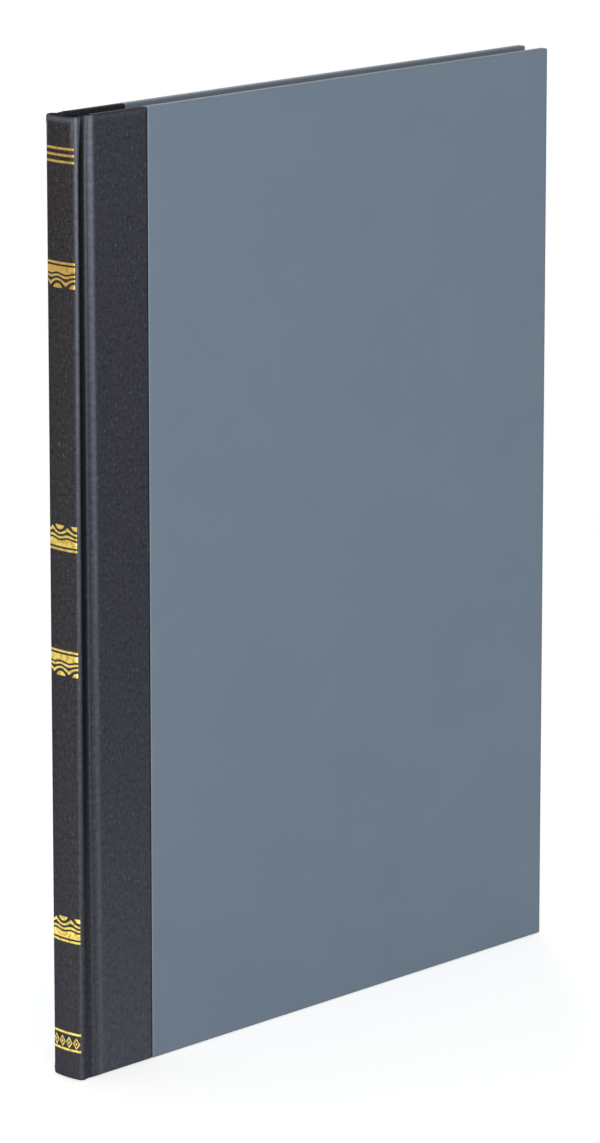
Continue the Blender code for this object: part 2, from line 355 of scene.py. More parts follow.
@dataclass
class Sheet:
    """One closed sheet of a piece: two faces as grids of the same size, joined round their rims.

    Attributes:
        outer: Points of one face, rows by columns by 3, in millimetres in the shared frame.
        inner: Points of the other face.
        flat: Place of each grid point on the sheet laid flat, rows by columns by 2.
        rub: How much rubbing and painted highlight each grid point has.
        hollow: How much painted shade each grid point has, and on the foil how worn its edge is.
        faded: How much the light has browned each grid point.
        inner_hollow: The least painted shade on the inner face.
    """

    outer: np.ndarray
    inner: np.ndarray
    flat: np.ndarray
    rub: np.ndarray | None = None
    hollow: np.ndarray | None = None
    faded: np.ndarray | None = None
    inner_hollow: float = 0.0

    def points(self) -> np.ndarray:
        """Both faces' points in metres, the outer face's first."""
        return np.concatenate([self.outer.reshape(-1, 3), self.inner.reshape(-1, 3)]) * MM

    def faces(self) -> np.ndarray:
        """Quads of both faces and of the rim between them, turned outwards.

        Neighbours on the grid make the quads, and the grid's border, walked once round, makes the
        rim. The volume that the quads enclose tells whether they point outwards.

        Returns:
            Rows of four point numbers.
        """
        rows, columns = self.outer.shape[:2]
        number = np.arange(rows * columns).reshape(rows, columns)
        quads = grid_quads(number)
        border = (number[0, :-1], number[:-1, -1], number[-1, :0:-1], number[:0:-1, 0])
        rim = np.concatenate(border)
        after = np.roll(rim, -1)
        other = rows * columns
        sides = np.stack([rim, after, after + other, rim + other], axis=-1)
        found = np.concatenate([quads, quads[:, ::-1] + other, sides])
        place = self.points()
        a, b, c, d = np.moveaxis((place - place.mean(axis=0))[found], 1, 0)
        volume = np.sum(a * np.cross(b, c)) + np.sum(a * np.cross(c, d))
        return found if volume > 0 else found[:, ::-1]

    def flat_places(self) -> np.ndarray:
        """The flat place of every point, in metres, for the piece's UV map.

        The inner face's places are moved on by the distance between the faces, so that a pattern
        also runs over the rim and isn't drawn out there.

        Returns:
            Rows of places across and up.
        """
        apart = np.linalg.norm(self.outer - self.inner, axis=-1, keepdims=True)
        return np.concatenate([self.flat.reshape(-1, 2), (self.flat + apart).reshape(-1, 2)]) * MM

    def spread(self, values: np.ndarray | None, inner_least: float = 0.0) -> np.ndarray:
        """Gives grid values to the points of both faces.

        Args:
            values: The values, or none, which stands for nought all over.
            inner_least: The least value on the inner face.

        Returns:
            A value for every point.
        """
        grid = np.broadcast_to(0.0 if values is None else values, self.flat.shape[:2])
        return np.concatenate([grid.ravel(), np.maximum(grid, inner_least).ravel()])


def make_piece(
    name: str, sheets: Sequence[Sheet], material: bpy.types.Material, slot: str
) -> bpy.types.Object:
    """Puts sheets into one mesh object at the origin.

    Args:
        name: The piece's name.
        sheets: The closed sheets that make it.
        material: Its finish.
        slot: The record's material slot that the finish belongs to.

    Returns:
        The object, with a UV map of flat places and its attributes.
    """
    counts = [2 * sheet.outer.shape[0] * sheet.outer.shape[1] for sheet in sheets]
    starts = np.concatenate([[0], np.cumsum(counts)[:-1]])
    points = np.concatenate([sheet.points() for sheet in sheets])
    faces = np.concatenate([sheet.faces() + start for sheet, start in zip(sheets, starts)])
    flat = np.concatenate([sheet.flat_places() for sheet in sheets])
    marks = {
        RUB_AND_HIGHLIGHT: np.concatenate([sheet.spread(sheet.rub) for sheet in sheets]),
        SHADE_AND_WEAR: np.concatenate([sheet.spread(sheet.hollow, sheet.inner_hollow) for sheet in sheets]),
        FADED: np.concatenate([sheet.spread(sheet.faded) for sheet in sheets]),
    }

    mesh = bpy.data.meshes.new(name)
    mesh.from_pydata(points, [], faces)
    corner = np.empty(len(mesh.loops), np.int32)
    mesh.loops.foreach_get("vertex_index", corner)
    mesh.uv_layers.new(name=FLAT_MAP).data.foreach_set("uv", flat[corner].ravel())
    for key, values in marks.items():
        attribute = mesh.attributes.new(key, "FLOAT", "POINT")
        attribute.data.foreach_set("value", values.astype(np.float32))
    mesh.polygons.foreach_set("use_smooth", np.ones(len(faces), bool))
    mesh.set_sharp_from_angle(angle=SHARP_ANGLE)
    mesh.materials.append(material)
    mesh.update()

    piece = bpy.data.objects.new(name, mesh)
    bpy.context.scene.collection.objects.link(piece)
    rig.slot(piece, slot)
    LOG.info("%s: %d faces", name, len(faces))
    return piece


def dress(nodes: Iterable[str], material: bpy.types.Material) -> None:
    """Gives solids that stay in view their finish.

    Args:
        nodes: Names of the solids.
        material: The finish.
    """
    for name in nodes:
        slots = frame["nodes"][name].data.materials
        slots.clear()
        slots.append(material)
        LOG.info("%s: solid kept, dressed with %s", name, material.name)


class Graph:
    """A shader node tree under construction, with short calls that add nodes and join them."""

    def __init__(self, tree: bpy.types.NodeTree) -> None:
        """Holds the tree that the nodes go into."""
        self.tree = tree

    def feed(self, socket: Socket, value: object) -> None:
        """Joins another node's output to a socket, or sets the socket's own value.

        Args:
            socket: The socket.
            value: An output to join, or a plain value.
        """
        if isinstance(value, Socket):
            self.tree.links.new(value, socket)
        else:
            socket.default_value = value

    def node(self, kind: str, inputs: dict | None = None, **settings: object) -> bpy.types.Node:
        """Adds one node.

        Args:
            kind: Blender's name for the node type.
            inputs: Values or sockets for its inputs, by name or place.
            **settings: Its own properties.

        Returns:
            The node.
        """
        made = self.tree.nodes.new(kind)
        for key, value in settings.items():
            setattr(made, key, value)
        for key, value in (inputs or {}).items():
            self.feed(made.inputs[key], value)
        return made

    def maths(self, operation: str, first: object, second: object = 0.0, third: object = 0.0) -> Socket:
        """One sum on numbers, by Blender's name for it."""
        inputs = {0: first, 1: second, 2: third}
        return self.node("ShaderNodeMath", inputs, operation=operation).outputs[0]

    def span(self, value: object, source: Range, target: Range = WHOLE) -> Socket:
        """Carries a value's range over to another range, eased and held at its ends.

        Args:
            value: The value.
            source: Where its range starts and ends.
            target: What comes out at those two.

        Returns:
            The value in the other range.
        """
        inputs = {
            "Value": value,
            "From Min": source[0],
            "From Max": source[1],
            "To Min": target[0],
            "To Max": target[1],
        }
        node = self.node("ShaderNodeMapRange", inputs, interpolation_type="SMOOTHSTEP")
        return node.outputs["Result"]

    def stretched(self, place: Socket, by: Triple) -> Socket:
        """A place multiplied axis by axis."""
        node = self.node("ShaderNodeVectorMath", {0: place, 1: by}, operation="MULTIPLY")
        return node.outputs[0]

    def split(self, place: Socket) -> Sequence[Socket]:
        """A place's three axes."""
        return self.node("ShaderNodeSeparateXYZ", {0: place}).outputs

    def noise(self, place: Socket, scale: object, detail: float = 2.0, rough: float = 0.5) -> Socket:
        """Cloudy noise round 0.5."""
        inputs = {"Vector": place, "Scale": scale, "Detail": detail, "Roughness": rough}
        return self.node("ShaderNodeTexNoise", inputs).outputs[0]

    def tint(self, share: object, first: object, second: object, blend: str = "MIX") -> Socket:
        """A colour between two others, or the first one changed by the second in another blend."""
        # The node has sockets for every kind of data, and its colours go into 6 and 7
        inputs = {0: share, 6: first, 7: second}
        return self.node("ShaderNodeMix", inputs, data_type="RGBA", blend_type=blend).outputs[2]

    def flat_place(self) -> Socket:
        """The piece's own flat map, in metres across and up."""
        return self.node("ShaderNodeUVMap", uv_map=FLAT_MAP).outputs[0]

    def solid_place(self) -> Socket:
        """The place in the shared frame, in metres, for pieces that don't bend."""
        return self.node("ShaderNodeTexCoord").outputs["Object"]

    def mark(self, name: str) -> Socket:
        """One of the piece's attributes."""
        return self.node("ShaderNodeAttribute", attribute_name=name).outputs["Fac"]

    def effect(self, tree: bpy.types.NodeTree, inputs: dict) -> Sequence[Socket]:
        """The outputs of a shared effect that is given this material's own values."""
        return self.node("ShaderNodeGroup", inputs, node_tree=tree).outputs

    def relief(self, height: Socket, depth: float, strength: float) -> Socket:
        """A bumped normal.

        Args:
            height: Height from 0 to 1.
            depth: What a height of 1 stands for, in millimetres.
            strength: Share of the bump that shows.

        Returns:
            The normal.
        """
        inputs = {"Height": height, "Distance": depth * MM, "Strength": strength}
        return self.node("ShaderNodeBump", inputs).outputs[0]


def start_material(name: str) -> tuple[bpy.types.Material, Graph]:
    """Makes an empty node material.

    Args:
        name: The material's name.

    Returns:
        The material, and the graph to build in.
    """
    material = bpy.data.materials.new(name)
    material.use_nodes = True
    material.node_tree.nodes.clear()
    return material, Graph(material.node_tree)


@dataclass
class Effects:
    """The shader node groups that several finishes share, each built once.

    Scales and stretches are waves in a metre. A strand's stretch is a share of its paper's
    fineness, and the bend is how many threads' widths a thread strays.
    """

    bend_scale: float = 420.0
    bend: float = 1.6
    under_height: float = 0.5
    slub_stretch: Triple = (1150.0, 760.0, 1.0)
    pit_stretch: Triple = (430.0, 1900.0, 1.0)
    mottle_scale: float = 55.0
    cloud_scale: float = 38.0
    strand_stretch: Triple = (0.9, 0.9, 0.16)
    strand_crest: Range = (0.66, 0.74)
    patch_lift: Range = (0.78, 1.18)
    weave: bpy.types.NodeTree = field(init=False)
    fibre: bpy.types.NodeTree = field(init=False)
    rub: bpy.types.NodeTree = field(init=False)

    def __post_init__(self) -> None:
        """Builds the three groups."""
        self.weave = self._weave()
        self.fibre = self._fibre()
        self.rub = self._rub()

    @staticmethod
    def _group(
        name: str, inputs: dict[str, str], outputs: Sequence[str]
    ) -> tuple[bpy.types.NodeTree, Graph, bpy.types.Node, bpy.types.Node]:
        """Starts a node group.

        Args:
            name: The group's name.
            inputs: Kind of socket for each input's name.
            outputs: Names of the outputs, which are all numbers.

        Returns:
            The tree, a graph on it, and its input and output nodes.
        """
        tree = bpy.data.node_groups.new(name, "ShaderNodeTree")
        for key, kind in inputs.items():
            tree.interface.new_socket(name=key, in_out="INPUT", socket_type=kind)
        for key in outputs:
            tree.interface.new_socket(name=key, in_out="OUTPUT", socket_type="NodeSocketFloat")
        build = Graph(tree)
        return tree, build, build.node("NodeGroupInput"), build.node("NodeGroupOutput")

    def _weave(self) -> bpy.types.NodeTree:
        """Plain weave on a flat place.

        Each thread is the size of a sine's half wave. Where the two sines have the same sign the
        upright thread is on top, elsewhere the level one. Noise bends the threads, and noise drawn
        out along the upright threads gives slubs and the specks on them. Noise drawn out along the
        level threads gives the small pits of the pressed grain.

        Returns:
            A group that puts out Height, Slub, Pit and Mottle.
        """
        inputs = {"Place": "NodeSocketVector", "Threads per Metre": "NodeSocketFloat"}
        outputs = ("Height", "Slub", "Pit", "Mottle")
        tree, build, start, end = self._group("plain weave", inputs, outputs)
        place, threads = start.outputs[0], start.outputs[1]
        bend = build.maths("MULTIPLY", build.noise(place, self.bend_scale), self.bend)
        axes = build.split(place)
        waves = []
        for axis in (0, 1):
            turns = build.maths("MULTIPLY_ADD", axes[axis], threads, bend)
            waves.append(build.maths("SINE", build.maths("MULTIPLY", turns, math.pi)))
        upright = build.maths("ABSOLUTE", waves[0])
        level = build.maths("ABSOLUTE", waves[1])
        over = build.maths("GREATER_THAN", build.maths("MULTIPLY", waves[0], waves[1]), 0.0)
        low = self.under_height
        top = build.maths("MULTIPLY", upright, build.maths("MULTIPLY_ADD", over, 1.0 - low, low))
        under = build.maths("MULTIPLY", level, build.maths("MULTIPLY_ADD", over, low - 1.0, 1.0))
        build.feed(end.inputs["Height"], build.maths("MAXIMUM", top, under))
        slub = build.noise(build.stretched(place, self.slub_stretch), 1.0, detail=3.0, rough=0.6)
        build.feed(end.inputs["Slub"], slub)
        pit = build.noise(build.stretched(place, self.pit_stretch), 1.0)
        build.feed(end.inputs["Pit"], pit)
        build.feed(end.inputs["Mottle"], build.noise(place, self.mottle_scale, detail=3.0, rough=0.55))
        return tree

    def _fibre(self) -> bpy.types.NodeTree:
        """Paper's fibres on any place.

        Fine noise is the felt of fibres, coarse noise its cloudy look when held to the light, and
        the crests of a noise drawn out one way are single longer fibres.

        Returns:
            A group that puts out Felt, Cloud and Fibre.
        """
        inputs = {"Place": "NodeSocketVector", "Fineness": "NodeSocketFloat"}
        tree, build, start, end = self._group("paper fibre", inputs, ("Felt", "Cloud", "Fibre"))
        place, fineness = start.outputs[0], start.outputs[1]
        build.feed(end.inputs["Felt"], build.noise(place, fineness, detail=4.0, rough=0.65))
        build.feed(end.inputs["Cloud"], build.noise(place, self.cloud_scale, detail=3.0, rough=0.6))
        strand = build.noise(build.stretched(place, self.strand_stretch), fineness, rough=0.7)
        build.feed(end.inputs["Fibre"], build.span(strand, self.strand_crest))
        return tree

    def _rub(self) -> bpy.types.NodeTree:
        """Patchy rubbing and painted highlight: the attribute broken up by noise, not an even band.

        Returns:
            A group that puts out Mask.
        """
        number = "NodeSocketFloat"
        inputs = {"Place": "NodeSocketVector", "Rub": number, "Patch Scale": number}
        # The group's mask is both rubbing and painted highlight on ridges
        tree, build, start, end = self._group("rubbed ridge", inputs, ("Mask",))
        patch = build.noise(start.outputs[0], start.outputs[2], detail=3.0, rough=0.6)
        lift = build.span(patch, NOISE_SPAN, self.patch_lift)
        build.feed(end.inputs["Mask"], build.maths("MULTIPLY", start.outputs[1], lift))
        return tree

    def woven(self, build: Graph, place: Socket, threads_per_mm: float) -> Sequence[Socket]:
        """The weave's outputs in a material, for its own count of threads."""
        return build.effect(self.weave, {"Place": place, "Threads per Metre": threads_per_mm / MM})

    def felted(self, build: Graph, place: Socket, fineness: float) -> Sequence[Socket]:
        """The fibres' outputs in a material, for its own fineness."""
        return build.effect(self.fibre, {"Place": place, "Fineness": fineness})

    def rubbed(self, build: Graph, place: Socket, patch_scale: float) -> Socket:
        """The mask of a material's worn ridges and painted highlights, from the piece's own attribute."""
        inputs = {"Place": place, "Rub": build.mark(RUB_AND_HIGHLIGHT), "Patch Scale": patch_scale}
        return build.effect(self.rub, inputs)["Mask"]


@dataclass(frozen=True)
class Finish(ABC):
    """A named material: each kind of finish gives the inputs of its surface shader."""

    name: str

    @abstractmethod
    def surface(self, build: Graph, effects: Effects) -> dict[str, object]:
        """Values and sockets for the surface shader's inputs, built from the shared node groups."""

    def material(self, effects: Effects) -> bpy.types.Material:
        """Builds the material.

        Args:
            effects: The shared node groups.

        Returns:
            The material.
        """
        material, build = start_material(self.name)
        shader = build.node("ShaderNodeBsdfPrincipled", self.surface(build, effects))
        build.node("ShaderNodeOutputMaterial", {"Surface": shader.outputs[0]})
        LOG.info("finish %s: %d nodes", self.name, len(material.node_tree.nodes))
        return material


@dataclass(frozen=True)
class ClothFinish(Finish):
    """Dark bookcloth: a fine weave, pale specks where thread stands up, worn ridges with painted highlights."""

    name: str = "bookcloth"
    gap: Colour = (22, 22, 25)
    thread: Colour = (65, 66, 73)
    speck: Colour = (102, 105, 113)
    pit: Colour = (18, 18, 21)
    # Colour of worn ridges that also serves as their painted highlight
    rubbed: Colour = (140, 145, 160)
    # Colour of painted shade in the groove, along the paper's edge, in the folds and on the inner face
    crease: Colour = (21, 21, 23)
    browned: tuple[float, float, float, float] = (1.13, 1.0, 0.86, 1.0)
    threads_per_mm: float = 2.2
    slub_span: Range = (0.32, 0.66)
    slub_height: Range = (0.6, 1.0)
    thread_span: Range = (0.1, 0.85)
    speck_span: Range = (0.6, 0.74)
    speck_patch: Range = (0.42, 0.6)
    speck_share: Range = (0.25, 0.65)
    pit_span: Range = (0.42, 0.31)
    pit_share: Range = (0.0, 0.5)
    rub_patches: float = 620.0
    rough: Range = (0.6, 0.74)
    specular: float = 0.01
    relief: float = 0.06
    relief_share: float = 0.55

    def surface(self, build: Graph, effects: Effects) -> dict[str, object]:
        """The cloth on the piece's flat map.

        The weave's height goes from the gaps' colour to the threads'. Specks, pits, browning,
        rubbing with painted highlights, and painted shade in the creases come over it in that order.

        Args:
            build: The material's graph.
            effects: The shared node groups.

        Returns:
            Inputs of the surface shader.
        """
        place = build.flat_place()
        weave = effects.woven(build, place, self.threads_per_mm)
        slub, mottle = weave["Slub"], weave["Mottle"]
        stands = build.span(slub, self.slub_span, self.slub_height)
        raised = build.maths("MULTIPLY", weave["Height"], stands)
        colour = build.tint(build.span(raised, self.thread_span), linear(self.gap), linear(self.thread))
        patch = build.span(mottle, self.speck_patch, self.speck_share)
        speck = build.maths("MULTIPLY", build.span(slub, self.speck_span), patch)
        colour = build.tint(speck, colour, linear(self.speck))
        pit = build.span(weave["Pit"], self.pit_span, self.pit_share)
        colour = build.tint(pit, colour, linear(self.pit))
        colour = build.tint(build.mark(FADED), colour, self.browned, "MULTIPLY")
        # Painted highlights with some rubbing, then painted shade
        rub = effects.rubbed(build, place, self.rub_patches)
        colour = build.tint(rub, colour, linear(self.rubbed))
        colour = build.tint(build.mark(SHADE_AND_WEAR), colour, linear(self.crease))
        return {
            "Base Color": colour,
            "Roughness": build.span(mottle, NOISE_SPAN, self.rough),
            "Specular IOR Level": self.specular,
            "Normal": build.relief(raised, self.relief, self.relief_share),
        }


@dataclass(frozen=True)
class PaperFinish(Finish):
    """Uncoated paper or card: felted fibres, a cloudy body colour, worn edges, painted highlights and shade."""

    body: Colour
    shade: Colour
    fibre: Colour
    rubbed: Colour
    # Colour of painted shade along the siding's rims and on its inner face
    soiled: Colour = (98, 98, 92)
    fineness: float = 2600.0
    grain: Range = (0.0, 0.3)
    fibre_share: float = 0.35
    rub_patches: float = 180.0
    rough: Range = (0.62, 0.74)
    specular: float = 0.25
    relief: float = 0.02
    relief_share: float = 0.5
    bends: bool = True

    def printed(self, build: Graph, colour: Socket) -> Socket:
        """The paper's colour with what is printed on it, which is nothing on plain paper."""
        return colour

    def surface(self, build: Graph, effects: Effects) -> dict[str, object]:
        """The paper on the flat map of a piece that bends, or else on its place.

        Clouds go from the shade to the body colour. Grain, single fibres, rubbing with painted
        highlights, and painted shade come over them in that order.

        Args:
            build: The material's graph.
            effects: The shared node groups.

        Returns:
            Inputs of the surface shader.
        """
        place = build.flat_place() if self.bends else build.solid_place()
        sheet = effects.felted(build, place, self.fineness)
        felt = sheet["Felt"]
        cloud = build.span(sheet["Cloud"], NOISE_SPAN)
        colour = build.tint(cloud, linear(self.shade), linear(self.body))
        colour = build.tint(build.span(felt, NOISE_SPAN, self.grain), colour, linear(self.shade))
        strand = build.maths("MULTIPLY", sheet["Fibre"], self.fibre_share)
        colour = build.tint(strand, colour, linear(self.fibre))
        # Rubbing with painted highlights, then painted shade
        rub = effects.rubbed(build, place, self.rub_patches)
        colour = build.tint(rub, colour, linear(self.rubbed))
        colour = build.tint(build.mark(SHADE_AND_WEAR), colour, linear(self.soiled))
        return {
            "Base Color": self.printed(build, colour),
            "Roughness": build.span(felt, NOISE_SPAN, self.rough),
            "Specular IOR Level": self.specular,
            "Normal": build.relief(felt, self.relief, self.relief_share),
        }


@dataclass(frozen=True)
class RuledPaper(PaperFinish):
    """Leaf paper with a ledger's ruling: faint level lines, and upright lines for the columns."""

    feint: Colour = (150, 176, 204)
    column: Colour = (196, 112, 108)
    line_pitch: float = 8.0
    line_width: float = 0.16
    ink: float = 0.72
    ink_ends: Range = (0.04, 0.3)
    ruled_from: float = 18.0
    ruled_to: float = 228.0
    columns: tuple[float, ...] = (30.0, 48.0, 128.0, 146.0, 154.0, 162.0)

    def printed(self, build: Graph, colour: Socket) -> Socket:
        """The paper's colour with its ruling.

        A level line is where the height, counted in line pitches, is half a pitch past a whole
        number. An upright line is where the distance from the spine is one of the columns'. The
        lines stop short of the leaf's worn rim.

        Args:
            build: The material's graph.
            colour: Colour of the bare paper.

        Returns:
            Colour of the ruled paper.
        """
        axes = build.split(build.flat_place())
        half = 0.5 * self.line_width
        rows = build.maths("FRACT", build.maths("DIVIDE", axes[1], self.line_pitch * MM))
        level = build.maths("COMPARE", rows, 0.5, half / self.line_pitch)
        above = build.maths("GREATER_THAN", axes[1], self.ruled_from * MM)
        below = build.maths("LESS_THAN", axes[1], self.ruled_to * MM)
        level = build.maths("MULTIPLY", level, build.maths("MULTIPLY", above, below))
        head_line = (self.ruled_to + self.line_pitch) * MM
        upright = build.maths("COMPARE", axes[1], head_line, half * MM)
        for column in self.columns:
            line = build.maths("COMPARE", axes[0], column * MM, half * MM)
            upright = build.maths("MAXIMUM", upright, line)
        inked = build.span(build.mark(RUB_AND_HIGHLIGHT), self.ink_ends, (self.ink, 0.0))
        colour = build.tint(build.maths("MULTIPLY", level, inked), colour, linear(self.feint))
        return build.tint(build.maths("MULTIPLY", upright, inked), colour, linear(self.column))


@dataclass(frozen=True)
class FoilFinish(Finish):
    """Gilt foil stamped on cloth: the weave shows through, and the gold is worn and uneven."""

    name: str = "gilt_foil"
    bright: Colour = (251, 234, 130)
    deep: Colour = (214, 168, 66)
    tarnish: Colour = (168, 124, 54)
    bare: Colour = (74, 58, 38)
    threads_per_mm: float = 2.2
    uneven_scale: float = 900.0
    bright_span: Range = (0.36, 0.58)
    tarnish_heights: Range = (60.0, 250.0)
    tarnish_share: Range = (0.0, 0.7)
    chafe_span: Range = (0.58, 0.7)
    chafe_share: Range = (0.12, 0.85)
    rough: Range = (0.3, 0.46)
    relief: float = 0.02
    relief_share: float = 0.35

    def surface(self, build: Graph, effects: Effects) -> dict[str, object]:
        """The foil on the piece's flat map.

        Noise goes from the deep to the bright gold. A darker gold and bare spots on the slubs grow
        between two heights, and where the foil is bare it is no metal.

        Args:
            build: The material's graph.
            effects: The shared node groups.

        Returns:
            Inputs of the surface shader.
        """
        place = build.flat_place()
        weave = effects.woven(build, place, self.threads_per_mm)
        uneven = build.noise(place, self.uneven_scale, detail=3.0, rough=0.6)
        gold = build.span(uneven, self.bright_span)
        colour = build.tint(gold, linear(self.deep), linear(self.bright))
        height = build.split(place)[1]
        heights = (self.tarnish_heights[0] * MM, self.tarnish_heights[1] * MM)
        # The gold grows darker towards the head, and bare spots grow there too
        dull = build.span(height, heights, self.tarnish_share)
        colour = build.tint(dull, colour, linear(self.tarnish))
        chafed = build.span(height, heights, self.chafe_share)
        spots = build.maths("MULTIPLY", build.span(weave["Slub"], self.chafe_span), chafed)
        worn = build.maths("MAXIMUM", spots, build.mark(SHADE_AND_WEAR))
        return {
            "Base Color": build.tint(worn, colour, linear(self.bare)),
            "Metallic": build.maths("SUBTRACT", 1.0, worn),
            "Roughness": build.span(uneven, NOISE_SPAN, self.rough),
            "Normal": build.relief(weave["Height"], self.relief, self.relief_share),
        }


@dataclass(frozen=True)
class BandFinish(Finish):
    """Woven head band: two colours of silk wound by turns over a core."""

    name: str = "headband_silk"
    first: Colour = (58, 66, 82)
    second: Colour = (222, 216, 200)
    shade: Colour = (40, 40, 44)
    turn: float = 0.62
    slant: float = 0.35
    stripe_span: Range = (-0.2, 0.2)
    fineness: float = 9000.0
    grain: Range = (0.0, 0.3)
    rough: Range = (0.5, 0.66)
    sheen: float = 0.15
    relief: float = 0.03
    relief_share: float = 0.6

    def surface(self, build: Graph, effects: Effects) -> dict[str, object]:
        """The stripes on the band's flat map, which runs along the band.

        A sine of the place along the band, leaning with the place round it, tells the two
        colours apart.

        Args:
            build: The material's graph.
            effects: The shared node groups.

        Returns:
            Inputs of the surface shader.
        """
        place = build.flat_place()
        axes = build.split(place)
        slant = build.maths("MULTIPLY_ADD", axes[1], self.slant, axes[0])
        turns = 2.0 * math.pi / (self.turn * MM)
        wave = build.maths("SINE", build.maths("MULTIPLY", slant, turns))
        felt = effects.felted(build, place, self.fineness)["Felt"]
        stripe = build.span(wave, self.stripe_span)
        colour = build.tint(stripe, linear(self.first), linear(self.second))
        shade = build.span(felt, NOISE_SPAN, self.grain)
        return {
            "Base Color": build.tint(shade, colour, linear(self.shade)),
            "Roughness": build.span(felt, NOISE_SPAN, self.rough),
            "Sheen Weight": self.sheen,
            "Normal": build.relief(felt, self.relief, self.relief_share),
        }


@dataclass(frozen=True)
class GauzeFinish(Finish):
    """Stiffened open-weave gauze, and waxed thread: pale yarn with darker gaps."""

    yarn: Colour
    gap: Colour
    threads_per_mm: float
    yarn_span: Range = (0.25, 0.7)
    rough: Range = (0.8, 0.95)
    relief: float = 0.08
    relief_share: float = 0.6

    def surface(self, build: Graph, effects: Effects) -> dict[str, object]:
        """The yarns on the solid's place, read across the spine's side.

        Args:
            build: The material's graph.
            effects: The shared node groups.

        Returns:
            Inputs of the surface shader.
        """
        axes = build.split(build.solid_place())
        across = build.maths("ADD", axes[0], axes[1])
        place = build.node("ShaderNodeCombineXYZ", {0: across, 1: axes[2]}).outputs[0]
        weave = effects.woven(build, place, self.threads_per_mm)
        on_yarn = build.span(weave["Height"], self.yarn_span)
        return {
            "Base Color": build.tint(on_yarn, linear(self.gap), linear(self.yarn)),
            "Roughness": build.span(weave["Mottle"], NOISE_SPAN, self.rough),
            "Normal": build.relief(weave["Height"], self.relief, self.relief_share),
        }


class Finishes:
    """Every material of the ledger, made once."""

    # The siding's worn-edge colour serves as its painted highlight, and the default grey as its painted shade
    siding_paper = PaperFinish(
        "siding_paper",
        body=(112, 127, 142),
        shade=(109, 124, 140),
        fibre=(130, 143, 156),
        rubbed=(140, 152, 164),
        fineness=3400.0,
        relief=0.014,
    )
    endpaper_sheet = PaperFinish(
        "endpaper",
        body=(236, 233, 224),
        shade=(226, 222, 211),
        fibre=(212, 206, 192),
        rubbed=(240, 238, 231),
    )
    leaf_paper = RuledPaper(
        "leaf_paper",
        body=(245, 242, 233),
        shade=(238, 234, 223),
        fibre=(226, 220, 206),
        rubbed=(236, 230, 217),
    )
    folded_leaf = PaperFinish(
        "folded_leaf",
        body=(243, 240, 231),
        shade=(235, 231, 220),
        fibre=(222, 216, 202),
        rubbed=(243, 240, 231),
        bends=False,
    )
    greyboard = PaperFinish(
        "greyboard",
        body=(152, 148, 140),
        shade=(132, 128, 121),
        fibre=(176, 172, 162),
        rubbed=(160, 156, 148),
        fineness=900.0,
        relief=0.08,
        bends=False,
    )
    lining_kraft = PaperFinish(
        "lining_kraft",
        body=(178, 150, 110),
        shade=(160, 132, 94),
        fibre=(196, 170, 132),
        rubbed=(178, 150, 110),
        bends=False,
    )
    mull_gauze = GauzeFinish("mull_gauze", (230, 226, 214), (176, 170, 154), threads_per_mm=1.2)
    waxed_thread = GauzeFinish("waxed_thread", (238, 234, 224), (206, 198, 182), threads_per_mm=6.0)

    def __init__(self) -> None:
        """Builds the shared effects, then each finish on them."""
        effects = Effects()
        self.cloth = ClothFinish().material(effects)
        self.siding = self.siding_paper.material(effects)
        self.endpaper = self.endpaper_sheet.material(effects)
        self.leaf = self.leaf_paper.material(effects)
        self.fold = self.folded_leaf.material(effects)
        self.board = self.greyboard.material(effects)
        self.lining = self.lining_kraft.material(effects)
        self.foil = FoilFinish().material(effects)
        self.band = BandFinish().material(effects)
        self.gauze = self.mull_gauze.material(effects)
        self.thread = self.waxed_thread.material(effects)


